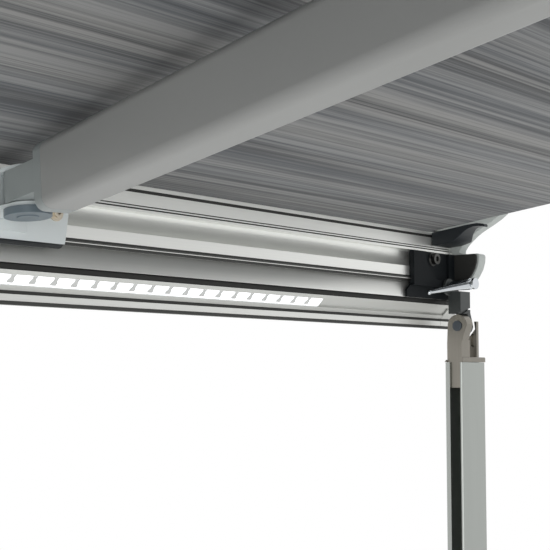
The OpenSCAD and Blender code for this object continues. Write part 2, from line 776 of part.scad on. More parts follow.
module bracket_bolts() color(c_steel) for (side = [-1, 1]) on_side(side)
    translate([shoulder_x, rail_y, rail_z]) for (x = bracket_bolt_x) {
        difference() {
            union() {
                axis_y(10 + eps, 11.6, x, bracket_bolt_w, 8);
                axis_y(11.6, 17, x, bracket_bolt_w, 6.5);
            }
            axis_y(14, 18, x, bracket_bolt_w, 3, $fn = 6);
        }
        axis_y(2.5, 10.2, x, bracket_bolt_w, 4);
    }

/* Ends of the lead rail. The axes here are s outwards, v to the wall and w up. */

// A plate drawn in (s, w), standing on the rail's face from v0 to v1
module on_face(v0, v1) {
    translate([0, v1, 0]) rotate([90, 0, 0]) linear_extrude(v1 - v0) children();
}

cap_v = 5.8;                                     // front of the black cap
cap_floor_v = 3;                                 // floor of its bolt recess
cap_bolt = [-30, -29];
cap_s0 = -70;

cap_flange_v = 2.4;                              // the lower flange passes behind the stowed leg's fork

// Room in the pieces on the rail's face for the small rib of the extrusion
module rib_notch() {
    along_x(-2 * awning_len, awning_len) translate([-1, rib_w - 0.5]) square([1 + rib_v + 0.5, rib_h + 1]);
}

module rail_cap() {
    difference() {
        union() {
            on_face(gap, cap_v) polygon([
                [cap_s0, -20.6], [cap_s0, -52], [cap_s0 - 1, -53.3], [-2.3, -53.3], [-2.3, -20.6]]);
            on_face(gap, cap_flange_v) polygon([
                [cap_s0 - 1, -53], [cap_s0 - 7, -58], [cap_s0 - 7, -64.5], [-2.3, -64.5], [-2.3, -53]]);
            // hub that carries the leg's swivel
            axis_y(gap, swivel_v0 - gap, swivel_s, swivel_w, 10.5);
        }
        // recess with the bolt, under a slanting edge
        translate([0, cap_floor_v, 0]) on_face(0, 10) polygon([
            [-42, -20], [-42, -26], [-30, -38], [-12, -38], [-12, -20]]);
        axis_y(-1, 8, cap_bolt[0], cap_bolt[1], 3.2);
        axis_y(-1, 9, swivel_s, swivel_w, 4 + fit);
        rib_notch();
    }
}

module rail_caps() color(c_black) for (side = [-1, 1]) at_rail_end(side) rail_cap();

module cap_bolts() color(c_steel) for (side = [-1, 1]) at_rail_end(side) {
    difference() {
        union() {
            axis_y(cap_floor_v + eps, cap_floor_v + 0.8, cap_bolt[0], cap_bolt[1], 5.6);
            axis_y(cap_floor_v + 0.8, cap_floor_v + 4.6, cap_bolt[0], cap_bolt[1], 4.4);
        }
        axis_y(cap_floor_v + 2.4, cap_floor_v + 6, cap_bolt[0], cap_bolt[1], 2.2, $fn = 6);
    }
    axis_y(gap, cap_floor_v + 0.3, cap_bolt[0], cap_bolt[1], 3);
}

// Wall side edge of the end pieces: a tip that hooks back, an S curve, a notch and a round foot
cover_top = [
    [-24, 60.5], [0, 55], [24, 45], [44, 33], [58, 26.5], [61.5, 23], [60.5, 19.5],
    [57, 15.6], [51, 11.4], [43.3, 7.2], [36, 3.6], [29.3, 0.2], [24, -3.2], [19.2, -7], [15.6, -10],
    [13.1, -12.6], [11, -15.6], [10, -18.6]];
cover_foot = concat(arc([29, -23.6], 3.2, 90, 0, 5), [[31.8, -28.5], [29.6, -35.5], [26, -41.5], [22.6, -45.8]]);
plate_foot = concat(arc([27.4, -23.4], 3, 90, 0, 5), [[30, -28.5], [28, -35], [24.6, -40.8], [21.4, -44.8]]);

// The front of the cover follows the rail's skin, a little proud of it
function cover_front(t) = skin_line(-45, skin_top + 1.5, -t, 14);

module end_cover() {
    along_x(gap, cover_t) polygon(concat(
        cover_front(1.5), cover_top, [[14, -20.4]], cover_foot, [[-4, -46.5]]));
    // lower front of the cover closes the rail's hollow
    along_x(gap, cover_t / 2) polygon(concat(
        skin_line(rail_foot + 0.5, -44, -1.5, 8), [[-3, -44], [-3, led_w0], [-led_drop - 2, rail_foot + 5]]));
}

module end_covers() color(c_cover) for (side = [-1, 1]) at_rail_end(side) end_cover();

module end_plate() difference() {
    along_x(-2, -eps) polygon(concat([[0.6, -20.4], [24, -20.4]], plate_foot, [[0.6, -46]]));
    rib_notch();
}

module end_plates() color(c_plate) for (side = [-1, 1]) at_rail_end(side) end_plate();

// Hook that draws the rail into the cassette's end, seen as a dark wing
wing_edge = [
    [25.4, -10.4], [29.6, -8], [33.2, -5.2], [37, -2.4], [41.6, -0.2], [46, 0.9], [52, 1],
    [56.4, 0.4], [57.9, -0.2]];
wing_top = [[58.6, 1.2], [57, 2.8], [50, 4.2], [40, 3.4], [28, 2], [14, 0.2], [gap, -1.6]];

module hook_wing() {
    difference() {
        along_x(-33, -4) polygon(concat([[gap, -13.8], [8, -13.4], [17, -12.6]], wing_edge, wing_top));
        // the tip slants away towards the rail's end
        translate([0, 0, -30]) linear_extrude(60)
            polygon([[-27, 60], [-25, 52], [-20, 42], [-13, 34], [-5, 27.5], [0, 25], [0, 60]]);
    }
}

module hook_wings() color(c_black) for (side = [-1, 1]) at_rail_end(side) hook_wing();

// Clips on the rail that the stowed legs snap under
clip_s = -1050;
clip_l = 24;

module leg_clip() {
    back = leg_v + leg_d / 2 + 0.5;
    along_x(clip_s, clip_s + clip_l) polygon([
        [gap, -49], [gap, -53.4], [back, -53.4], [back, -57], [back + 1.4, -58.6], [back + 2.6, -57],
        [back + 2.6, -52], [back, -50.4], [3.6, -50.4], [2.2, -49]]);
}

module leg_clips() color(c_black) for (side = [-1, 1]) at_rail_end(side) leg_clip();

/* Legs. The swivel turns on its pin so that the leg stows along the rail. */

module leg_swivel(side) color(c_casting) at_rail_end(side) difference() {
    union() {
        // back plate round the pin
        on_face(swivel_v0, 9) {
            translate([swivel_s, swivel_w]) circle(10);
            polygon([[swivel_s - 10, swivel_w], [swivel_s + 10, swivel_w], [1, -60], [1, -71.5],
                     [-33, -71.5], [-33, -60]]);
        }
        // block under the pin
        translate([0, swivel_v0 + 13.5, 0]) rotate([90, 0, 0]) linear_extrude(13.5)
            round_box_2d([-33, -71.5], [1, -58.5], 2);
        // collar and lug
        on_face(swivel_v0 + 1, 19) polygon([[-32, -71.4], [-32, -74.5], [-14, -78], [8.5, -76], [8.5, -66], [0, -66], [0, -71.4]]);
        along_x(-0.3, -0.3 + lug_t) difference() {
            union() {
                translate([lean_v, lean_w]) circle(8.6);
                polygon([[lean_v - 7, lean_w], [lean_v + 7, lean_w], [lean_v + 4.5, -74], [swivel_v0 + 1, -74]]);
            }
        }
    }
    axis_y(0, 40, swivel_s, swivel_w, 4 + fit);
    axis_x(-40, 40, lean_v, lean_w, 4 + fit);
}

// Bright pin with a lever and a round head that the swivel turns on
module swivel_pin(side) color(c_chrome) at_rail_end(side) {
    axis_y(0.6, 9.2, swivel_s, swivel_w, 4);
    translate([swivel_s, 9.2 + 23, swivel_w]) rotate([90, 0, 0]) cylinder(r1 = 5.6, r2 = 4.4, h = 23);
    axis_y(32, 36, swivel_s, swivel_w, 2.4);
    axis_y(35.5, 38, swivel_s, swivel_w, 5.2);
    translate([swivel_s, 10.6, swivel_w]) rotate([0, -98, 0]) cylinder(r = 1.3, h = 33);
    translate([swivel_s - 33, 10.6, swivel_w - 4.6]) sphere(2);
}

module fork_ear(s0, s1, slot) {
    along_x(s0, s1) difference() {
        union() {
            translate([lean_v, lean_w]) circle(11.4);
            polygon([[lean_v - 11.2, lean_w], [lean_v + 11.2, lean_w], [leg_v + leg_d / 2 - leg_wall - 0.4, -106],
                     [leg_v + leg_d / 2 - leg_wall - 0.4, -152], [leg_v - leg_d / 2 + leg_wall + 0.4, -152],
                     [leg_v - leg_d / 2 + leg_wall + 0.4, -104]]);
        }
        if (slot) round_box_2d([lean_v - 3, -116], [lean_v + 2, -103], 2.4);
    }
}

module leg_fork(side) color(c_steel) at_rail_end(side) difference() {
    union() {
        fork_ear(leg_s - leg_w / 2 + leg_wall + 0.4, -0.6, false);
        fork_ear(lug_t - 0.0, leg_s + leg_w / 2 - leg_wall - 2, true);
        // bridge inside the top of the leg
        along_x(-4, lug_t + 4)
            polygon([[leg_v - inner_d / 2, -128], [leg_v + inner_d / 2, -128],
                     [leg_v + inner_d / 2, -150], [leg_v - inner_d / 2, -150]]);
    }
    axis_x(-40, 40, lean_v, lean_w, 4 + fit);
}

module lean_pin(side) color(c_steel) at_rail_end(side) {
    s0 = leg_s - leg_w / 2 + leg_wall + 0.4;
    s1 = leg_s + leg_w / 2 - leg_wall - 2;
    axis_x(s0 - 1, s1 + 1, lean_v, lean_w, 4);
    axis_x(s0 - 3, s0 - eps, lean_v, lean_w, 5.6);
    axis_x(s1 + eps, s1 + 2, lean_v, lean_w, 5.6);
}

module leg_section() {
    difference() {
        round_box_2d([leg_s - leg_w / 2, leg_v - leg_d / 2], [leg_s + leg_w / 2, leg_v + leg_d / 2], 2.6);
        round_box_2d([leg_s - leg_w / 2 + leg_wall, leg_v - leg_d / 2 + leg_wall],
            [leg_s + leg_w / 2 - leg_wall, leg_v + leg_d / 2 - leg_wall], 1);
        translate([leg_s - leg_w / 2 - 1, leg_v - leg_slot / 2 + 1.5]) square([leg_wall + 2, leg_slot]);
    }
}

module outer_leg(side) color(c_leg) at_rail_end(side)
    translate([0, 0, outer_leg_w0]) linear_extrude(outer_leg_l) leg_section();

module inner_leg(side) color(c_black) at_rail_end(side)
    translate([0, 0, foot_w0 + 6]) linear_extrude(inner_leg_w1 - foot_w0 - 6)
        difference() {
            round_box_2d([leg_s - inner_w / 2, leg_v - inner_d / 2], [leg_s + inner_w / 2, leg_v + inner_d / 2], 1.5);
            round_box_2d([leg_s - inner_w / 2 + 1.6, leg_v - inner_d / 2 + 1.6],
                [leg_s + inner_w / 2 - 1.6, leg_v + inner_d / 2 - 1.6], 0.8);
        }

module foot(side) color(c_rubber) at_rail_end(side) difference() {
    translate([0, 0, foot_w0]) {
        linear_extrude(7) round_box_2d([leg_s - 34, leg_v - leg_d / 2 + 0.2], [leg_s + 34, leg_v + 16], 9);
        linear_extrude(foot_h) round_box_2d([leg_s - inner_w / 2 - 3, leg_v - inner_d / 2 - 2.4],
            [leg_s + inner_w / 2 + 3, leg_v + inner_d / 2 + 3], 3);
    }
    translate([0, 0, foot_w0 + 6]) linear_extrude(foot_h)
        round_box_2d([leg_s - inner_w / 2, leg_v - inner_d / 2], [leg_s + inner_w / 2, leg_v + inner_d / 2], 1.5);
    for (x = [leg_s - 27, leg_s + 27]) translate([x, leg_v, foot_w0 - 1]) cylinder(r = 2.6, h = 12);
}

// Collar at the mouth of the outer leg, with two ears for the lever
module leg_clamp(side) color(c_black) at_rail_end(side) difference() {
    union() {
        translate([0, 0, outer_leg_w0 - 10]) linear_extrude(clamp_h)
            round_box_2d([leg_s - leg_w / 2 - 3, leg_v - leg_d / 2 - 1.4],
                [leg_s + leg_w / 2 + 3, leg_v + leg_d / 2 + 3], 3);
        for (s = [leg_s - 11, leg_s + 7]) along_x(s, s + 4) {
            translate([lever_v, lever_w]) circle(6);
            polygon([[leg_v + leg_d / 2, lever_w - 8], [lever_v, lever_w - 6], [lever_v, lever_w + 6],
                     [leg_v + leg_d / 2, lever_w + 10]]);
        }
    }
    translate([0, 0, outer_leg_w0]) linear_extrude(clamp_h)
        round_box_2d([leg_s - leg_w / 2, leg_v - leg_d / 2], [leg_s + leg_w / 2, leg_v + leg_d / 2], 2.6);
    translate([0, 0, outer_leg_w0 - 11]) linear_extrude(clamp_h)
        round_box_2d([leg_s - inner_w / 2 - 0.4, leg_v - inner_d / 2 - 0.4],
            [leg_s + inner_w / 2 + 0.4, leg_v + inner_d / 2 + 0.4], 1.8);
    axis_x(leg_s - 20, leg_s + 20, lever_v, lever_w, 2.5 + fit);
}

module clamp_lever(side) color(c_chrome) at_rail_end(side) {
    along_x(leg_s - 6.6, leg_s + 6.6) {
        translate([lever_v, lever_w]) circle(5);
        polygon([[lever_v - 1, lever_w], [lever_v + 5, lever_w], [lever_v + 5, lever_w + lever_l - 8],
                 [lever_v + 7, lever_w + lever_l], [lever_v + 4.4, lever_w + lever_l], [lever_v + 1, lever_w + lever_l - 8]]);
    }
    axis_x(leg_s - 11, leg_s + 11, lever_v, lever_w, 2.5);
}

cassette_housing();
cassette_cap(-1);  // left_cassette_cap
cassette_cap(1);  // right_cassette_cap
cap_screws();
wall_brackets();
bracket_screws();
roller_bushes();
gearbox_housing();
shoulder_brackets();
shoulder_pins();
seal_strip();
fabric_canopy();
roller_tube();
roller_plugs();
fabric_roll();
worm_wheel();
crank_shaft();
worm();
upper_frame(-1) arm_tube(-1);  // left_upper_tube
upper_castings(-1);  // left_upper_castings
elbow_pin(-1);  // left_elbow_pin
arm_spring(-1);  // left_arm_spring
upper_frame(1) arm_tube(-1);  // right_upper_tube
upper_castings(1);  // right_upper_castings
elbow_pin(1);  // right_elbow_pin
arm_spring(1);  // right_arm_spring
forearm_frame(-1) arm_tube(1);  // left_forearm_tube
forearm_castings(-1);  // left_forearm_castings
forearm_frame(1) arm_tube(1);  // right_forearm_tube
forearm_castings(1);  // right_forearm_castings
lead_rail();
led_strip();
keder_rod();
arm_brackets();
wrist_pins();
bracket_bolts();
rail_caps();
cap_bolts();
end_plates();
end_covers();
hook_wings();
leg_clips();
leg_swivel(-1);  // left_leg_swivel
swivel_pin(-1);  // left_swivel_pin
leg_swivel(1);  // right_leg_swivel
swivel_pin(1);  // right_swivel_pin
leg_fork(-1);  // left_leg_fork
lean_pin(-1);  // left_lean_pin
outer_leg(-1);  // left_outer_leg
leg_clamp(-1);  // left_leg_clamp
leg_fork(1);  // right_leg_fork
lean_pin(1);  // right_lean_pin
outer_leg(1);  // right_outer_leg
leg_clamp(1);  // right_leg_clamp
inner_leg(-1);  // left_inner_leg
foot(-1);  // left_foot
inner_leg(1);  // right_inner_leg
foot(1);  // right_foot
clamp_lever(-1);  // left_clamp_lever
clamp_lever(1);  // right_clamp_lever
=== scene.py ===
"""Roll out awning: finishes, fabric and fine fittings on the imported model, with its studio and camera."""

import json
import logging
import math
from dataclasses import dataclass, field
from enum import Enum
from typing import Any, Callable, Sequence, Union

import bmesh
import bpy
from mathutils import Matrix, Vector

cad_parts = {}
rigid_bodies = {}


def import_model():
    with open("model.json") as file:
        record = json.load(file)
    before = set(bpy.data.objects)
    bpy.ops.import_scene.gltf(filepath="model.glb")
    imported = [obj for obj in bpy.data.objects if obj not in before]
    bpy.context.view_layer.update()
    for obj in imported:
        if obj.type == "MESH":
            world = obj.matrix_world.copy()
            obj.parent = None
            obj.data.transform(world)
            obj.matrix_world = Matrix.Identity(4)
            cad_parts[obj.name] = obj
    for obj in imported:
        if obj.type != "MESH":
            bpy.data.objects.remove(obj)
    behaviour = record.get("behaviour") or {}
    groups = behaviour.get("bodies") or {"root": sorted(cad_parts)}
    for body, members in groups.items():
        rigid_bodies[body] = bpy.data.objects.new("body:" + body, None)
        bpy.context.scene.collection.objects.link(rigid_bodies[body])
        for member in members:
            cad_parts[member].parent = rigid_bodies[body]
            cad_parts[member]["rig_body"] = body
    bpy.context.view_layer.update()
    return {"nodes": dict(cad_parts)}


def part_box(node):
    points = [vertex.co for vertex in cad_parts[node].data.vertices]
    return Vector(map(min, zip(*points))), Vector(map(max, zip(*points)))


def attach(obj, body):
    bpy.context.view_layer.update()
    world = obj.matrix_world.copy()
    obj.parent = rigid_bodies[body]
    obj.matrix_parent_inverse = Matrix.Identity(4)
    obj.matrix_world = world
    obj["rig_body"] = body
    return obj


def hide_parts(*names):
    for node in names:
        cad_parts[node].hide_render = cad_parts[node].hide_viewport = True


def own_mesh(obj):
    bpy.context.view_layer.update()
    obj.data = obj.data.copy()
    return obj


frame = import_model()

log = logging.getLogger("awning")
Triple = tuple[float, float, float]
Pair = tuple[float, float]
MM = 0.001
PER_METRE = 1000.0


class Grain(Enum):
    """The direction in which a finish's fine lines run."""

    ALONG_X = (0.6, 90.0, 90.0)
    ALONG_Z = (90.0, 90.0, 0.6)
    EVEN = (1.0, 1.0, 1.0)


class Side(Enum):
    """One end of the awning, with the sign of its X."""

    LEFT = -1
    RIGHT = 1

    @property
    def word(self) -> str:
        """The word that node and body names start with."""
        return self.name.lower()


def maths(operation: str, swapped: bool = False) -> Callable[..., "Signal"]:
    """Makes a method of Signal that adds one Math node.

    Args:
        operation: The Math node's operation.
        swapped: True where the other value comes first.

    Returns:
        The method. Its other value is 0 when left out.
    """
    def method(self: "Signal", other: "Value" = 0.0) -> "Signal":
        """Adds the node and gives back its result."""
        node = self.tree.nodes.new("ShaderNodeMath")
        node.operation = operation
        for slot, value in enumerate((other, self) if swapped else (self, other)):
            if isinstance(value, Signal):
                self.tree.links.new(value.socket, node.inputs[slot])
            else:
                node.inputs[slot].default_value = value
        return Signal(self.tree, node.outputs[0])

    return method


class Signal:
    """One socket's value in a shader. Python's operators on it add Math nodes."""

    def __init__(self, tree: bpy.types.NodeTree, socket: bpy.types.NodeSocket) -> None:
        """Wraps an output socket of a node in that tree."""
        self.tree = tree
        self.socket = socket

    __add__ = maths("ADD")
    __radd__ = maths("ADD", swapped=True)
    __sub__ = maths("SUBTRACT")
    __rsub__ = maths("SUBTRACT", swapped=True)
    __mul__ = maths("MULTIPLY")
    __rmul__ = maths("MULTIPLY", swapped=True)
    __mod__ = maths("FLOORED_MODULO")
    __gt__ = maths("GREATER_THAN")
    __lt__ = maths("LESS_THAN")
    __abs__ = maths("ABSOLUTE")
    at_most = maths("MINIMUM")
    at_least = maths("MAXIMUM")

    def clamped(self) -> "Signal":
        """Held between 0 and 1."""
        return self.at_least(0.0).at_most(1.0)

    def step(self, low: float, high: float) -> "Signal":
        """Rises from 0 at low to 1 at high, or falls where low is the greater."""
        return ((self - low) * (1.0 / (high - low))).clamped()


Value = Union[Signal, float]


class Paint:
    """A material under construction, with its Principled shader."""

    def __init__(self, name: str) -> None:
        """Starts a material of that name with an empty tree."""
        self.material = bpy.data.materials.new(name)
        self.material.use_nodes = True
        self.tree = self.material.node_tree
        self.tree.nodes.clear()
        self.shader = self.tree.nodes.new("ShaderNodeBsdfPrincipled")
        output = self.tree.nodes.new("ShaderNodeOutputMaterial")
        self.tree.links.new(self.shader.outputs[0], output.inputs[0])

    def node(self, kind: str, settings: dict[str, Any] | None = None,
             inputs: dict[str | int, Any] | None = None, output: str | int = 0) -> Signal:
        """Adds any node.

        Args:
            kind: The node's type.
            settings: Attributes to set first; "stops" fills a ramp with (position, colour) pairs.
            inputs: Values or signals for its sockets, by name or number.
            output: The socket that is given back.

        Returns:
            That output as a signal.
        """
        node = self.tree.nodes.new(kind)
        for name, value in (settings or {}).items():
            if name == "stops":
                self._fill_ramp(node.color_ramp, value)
            else:
                setattr(node, name, value)
        for name, value in (inputs or {}).items():
            self.feed(node.inputs[name], value)
        return Signal(self.tree, node.outputs[output])

    @staticmethod
    def _fill_ramp(ramp: bpy.types.ColorRamp, stops: Sequence[tuple[float, Triple]]) -> None:
        """Gives a colour ramp its stops."""
        while len(ramp.elements) < len(stops):
            ramp.elements.new(0.5)
        for element, (position, colour) in zip(ramp.elements, stops):
            element.position = position
            element.color = (*colour, 1.0)

    def feed(self, socket: bpy.types.NodeSocket, value: Any) -> None:
        """Links a signal to a socket, or sets the socket to a number or colour."""
        if isinstance(value, Signal):
            self.tree.links.new(value.socket, socket)
        elif isinstance(value, tuple) and len(value) == 3 and socket.type == "RGBA":
            socket.default_value = (*value, 1.0)
        else:
            socket.default_value = value

    def set(self, **sockets: Any) -> None:
        """Sets the shader's sockets, named in lower case with underscores."""
        for name, value in sockets.items():
            words = name.split("_")
            label = " ".join(word.upper() if word == "ior" else word.capitalize() for word in words)
            self.feed(self.shader.inputs[label], value)

    def place(self, scale: Triple = (1.0, 1.0, 1.0), uv: bool = False) -> Signal:
        """Texture coordinates in metres, stretched by a Mapping node.

        Args:
            scale: Factors on the three axes.
            uv: True for the piece's own UV map, False for Object coordinates.

        Returns:
            The vector.
        """
        source = self.node("ShaderNodeTexCoord", output="UV" if uv else "Object")
        return self.node("ShaderNodeMapping", inputs={"Vector": source, "Scale": scale})

    def axis(self, letter: str, uv: bool = False) -> Signal:
        """One coordinate of the surface, in metres."""
        return self.node("ShaderNodeSeparateXYZ", inputs={0: self.place(uv=uv)}, output=letter)

    def noise(self, scale: Triple, detail: float = 2.0, rough: float = 0.5, uv: bool = False) -> Signal:
        """Noise from 0 to 1, with features of one over scale metres on each axis."""
        return self.node("ShaderNodeTexNoise",
                         inputs={"Vector": self.place(scale, uv), "Scale": 1.0, "Detail": detail,
                                 "Roughness": rough})

    def mix(self, factor: Value, first: Any, second: Any, kind: str = "MIX") -> Signal:
        """Mixes two colours.

        Args:
            factor: 0 for the first and 1 for the second.
            first: Colour or signal.
            second: Colour or signal.
            kind: The Mix node's blend type.

        Returns:
            The mixed colour.
        """
        return self.node("ShaderNodeMix", {"data_type": "RGBA", "blend_type": kind},
                         {0: factor, 6: first, 7: second}, output=2)

    def shade(self, colour: Any, factor: Signal) -> Signal:
        """Multiplies a colour by a number that varies."""
        grey = self.node("ShaderNodeCombineColor", inputs={0: factor, 1: factor, 2: factor})
        return self.mix(1.0, colour, grey, "MULTIPLY")

    def bump(self, height: Signal, strength: float, depth: float, under: Signal | None = None) -> Signal:
        """Turns a height into a normal.

        Args:
            height: Height from 0 to 1.
            strength: Strength of the effect.
            depth: What a height of 1 stands for, in metres.
            under: A normal to add to.

        Returns:
            The normal.
        """
        inputs: dict[str | int, Any] = {"Height": height, "Strength": strength, "Distance": depth}
        if under is not None:
            inputs["Normal"] = under
        return self.node("ShaderNodeBump", inputs=inputs)


@dataclass(frozen=True)
class Finish:
    """Base of every finish: a name, a colour, and the record's slot that it stands for."""

    name: str
    slot: str
    colour: Triple

    def material(self) -> bpy.types.Material:
        """The material, made on first use."""
        known = bpy.data.materials.get(self.name)
        if known is not None:
            return known
        paint = Paint(self.name)
        self.mix_paint(paint)
        return paint.material

    def mix_paint(self, paint: Paint) -> None:
        """Fills the material's tree."""
        raise NotImplementedError


@dataclass(frozen=True)
class Anodised(Finish):
    """Satin anodised aluminium with fine drawing lines along the extrusion."""

    grain: Grain = Grain.ALONG_X
    rough: float = 0.34
    lines: float = 0.10
    metal: float = 1.0

    def drawn(self, paint: Paint) -> tuple[Signal, Signal, Signal]:
        """The fine lines, the coarse lines, and the tone that they give together."""
        gx, gy, gz = self.grain.value
        fine = paint.noise((gx * 6, gy * 26, gz * 26), 3.0, 0.6)
        coarse = paint.noise((gx * 1.5, gy * 5, gz * 5), 2.0, 0.5)
        return fine, coarse, 1.0 + (fine - 0.5) * (self.lines * 2) + (coarse - 0.5) * self.lines

    def mix_paint(self, paint: Paint) -> None:
        """Drawing lines, faint cloudiness and a little dust in the roughness."""
        fine, coarse, tone = self.drawn(paint)
        cloud = paint.noise((2.2, 14.0, 14.0), 2.0)
        tone = tone + (cloud - 0.5) * 0.06
        paint.set(base_color=paint.shade(self.colour, tone), metallic=self.metal,
                  roughness=(self.rough + (coarse - 0.5) * 0.16 + (cloud - 0.5) * 0.08).clamped(),
                  normal=paint.bump(fine, 0.25, 0.00006))


@dataclass(frozen=True)
class Zone:
    """Part of the rail's section: a band of heights behind a depth, and how dark its painted shade is at both
    ends.
    """

    low: float
    high: float
    before: float
    dark_low: float
    dark_high: float


@dataclass(frozen=True)
class RailAluminium(Anodised):
    """The rail's satin, with painted shade in its lines, slot and channel and on its lower faces. Zones are
    on the rail's own axes.
    """

    # Painted shade bands of the section: low, high, before, and how dark at low and at high.
    zones: tuple[Zone, ...] = (Zone(-6.0, -3.5, -0.1, 0.1, 0.1),
                               Zone(-15.9, -15.0, -0.1, 0.08, 0.08), Zone(-18.0, -16.9, -0.1, 0.08, 0.08),
                               Zone(-46.95, -44.1, 9.0, 0.16, 0.09), Zone(-48.95, -47.4, 9.0, 0.1, 0.1),
                               Zone(-64.25, -48.96, -0.02, 1.0, 0.62), Zone(-69.1, -64.3, -0.02, 0.09, 0.09),
                               Zone(-81.62, -69.2, 9.0, 0.66, 0.74), Zone(-84.0, -81.62, 9.0, 0.10, 0.10),
                               Zone(-88.5, -84.01, 9.0, 0.85, 0.85), Zone(-92.0, -88.51, 9.0, 0.10, 0.10))
    wall_side: float = -19.0

    def mix_paint(self, paint: Paint) -> None:
        """The satin, multiplied by the painted shade of each zone."""
        fine, coarse, tone = self.drawn(paint)
        height = paint.axis("Z") * PER_METRE - RAIL_AT.z
        depth = paint.axis("Y") * PER_METRE - RAIL_AT.y
        behind_skin = depth > self.wall_side
        # Painted shade: each zone darkens the colour by height on the section, for shade in grooves, slot and
        # channel and dimmer reflections on lower faces.
        painted_shade: Value = 0.0
        for zone in self.zones:
            inside = (height > zone.low) * (height < zone.high) * (depth < zone.before) * behind_skin
            rise = height.step(zone.low, zone.high)
            dark = 1.0 - (zone.dark_low + rise * (zone.dark_high - zone.dark_low))
            painted_shade = inside * dark + painted_shade
        paint.set(base_color=paint.shade(self.colour, tone * (1.0 - painted_shade)), metallic=self.metal,
                  roughness=(self.rough + (coarse - 0.5) * 0.16 + painted_shade * 0.2).clamped(),
                  normal=paint.bump(fine, 0.25, 0.00006))


@dataclass(frozen=True)
class Coated(Finish):
    """Powder coat or paint on metal, with its orange peel."""

    rough: float = 0.45
    peel: float = 0.00012
    mottling: float = 0.05
    gloss_coat: float = 0.0

    def mix_paint(self, paint: Paint) -> None:
        """Orange peel, slight mottling, and grime that settles unevenly."""
        cloud = self.relief(paint)
        speck = paint.noise((300.0, 300.0, 300.0), 2.0)
        tone = 1.0 + (cloud - 0.5) * (self.mottling * 2) + (speck - 0.5) * self.mottling
        paint.set(base_color=paint.shade(self.colour, tone), coat_weight=self.gloss_coat)

    def relief(self, paint: Paint) -> Signal:
        """Sets the orange peel and the roughness, and gives back the clouds that vary it."""
        peel = paint.noise((900.0, 900.0, 900.0), 2.0, 0.55)
        cloud = paint.noise((9.0, 9.0, 9.0), 3.0)
        paint.set(roughness=(self.rough + (cloud - 0.5) * 0.12).clamped(),
                  normal=paint.bump(peel, 0.35, self.peel))
        return cloud


@dataclass(frozen=True)
class BracketPaint(Coated):
    """Painted casting whose underside is dark: the band under its face gets painted shade."""

    edge: float = -0.2715
    blend: float = 0.0001
    # Painted shade colour for everything below the face's lower edge.
    bare: Triple = (0.022, 0.026, 0.028)

    def mix_paint(self, paint: Paint) -> None:
        """The paint above the edge's height, and painted shade below."""
        cloud = self.relief(paint)
        # Painted shade under the face: dark below the edge's height.
        below = paint.axis("Z").step(self.edge + self.blend, self.edge - self.blend)
        paint.set(base_color=paint.mix(below, paint.shade(self.colour, 0.97 + cloud * 0.06), self.bare))


@dataclass(frozen=True)
class Moulded(Finish):
    """Injection moulded plastic with a fine spark texture."""

    rough: float = 0.48
    texture: float = 0.00008
    shine: float = 0.45

    def mix_paint(self, paint: Paint) -> None:
        """Spark-eroded grain, flow marks and faint handling wear."""
        spark = paint.noise((2400.0, 2400.0, 2400.0), 2.0, 0.6)
        flow = paint.noise((28.0, 28.0, 12.0), 2.0)
        wear = paint.noise((60.0, 60.0, 60.0), 4.0, 0.65)
        scuff = wear.step(0.62, 0.78)
        tone = 1.0 + (flow - 0.5) * 0.16 + scuff * 0.18
        paint.set(base_color=paint.shade(self.colour, tone),
                  roughness=(self.rough + (flow - 0.5) * 0.1 + scuff * 0.12).clamped(),
                  normal=paint.bump(spark, 0.4, self.texture), specular_ior_level=self.shine)


@dataclass(frozen=True)
class Steel(Finish):
    """Bare or plated steel: brushed, blasted or polished by its roughness and lines."""

    grain: Grain = Grain.EVEN
    rough: float = 0.32
    lines: float = 0.12

    def mix_paint(self, paint: Paint) -> None:
        """Brushing, and a film of handling marks."""
        gx, gy, gz = self.grain.value
        even = self.grain is Grain.EVEN
        step = 700.0 if even else 12.0
        fine = paint.noise((gx * step, gy * step, gz * step), 3.0, 0.6)
        film = paint.noise((45.0, 45.0, 45.0), 3.0, 0.6)
        tone = 1.0 + (fine - 0.5) * (self.lines * 2) + (film - 0.5) * 0.14
        paint.set(base_color=paint.shade(self.colour, tone), metallic=1.0,
                  roughness=(self.rough + (film - 0.5) * 0.18).clamped(),
                  normal=paint.bump(fine, 0.2, 0.00004))


@dataclass(frozen=True)
class Rubber(Finish):
    """Matt moulded rubber."""

    def mix_paint(self, paint: Paint) -> None:
        """Fine pores and a dusty bloom."""
        pores = paint.noise((1600.0, 1600.0, 1600.0), 2.0)
        bloom = paint.noise((50.0, 50.0, 50.0), 3.0).step(0.45, 0.8)
        paint.set(base_color=paint.mix(bloom * 0.5, self.colour, (0.09, 0.085, 0.08)),
                  roughness=0.72 + bloom * 0.15, normal=paint.bump(pores, 0.5, 0.0001))


@dataclass(frozen=True)
class LightStrip(Finish):
    """Milky lens over a row of lights, brightest over each light."""

    pitch: float = 0.018

    def mix_paint(self, paint: Paint) -> None:
        """A glow that falls off a little between the lights."""
        along = (paint.axis("X") + 10.0) % self.pitch
        from_edge = along.at_most(self.pitch - along)
        glow = 0.85 + from_edge.step(0.0, self.pitch * 0.4) * 0.15
        paint.set(base_color=paint.shade(self.colour, glow), roughness=0.28,
                  emission_color=paint.shade(self.colour, glow), emission_strength=1.1)


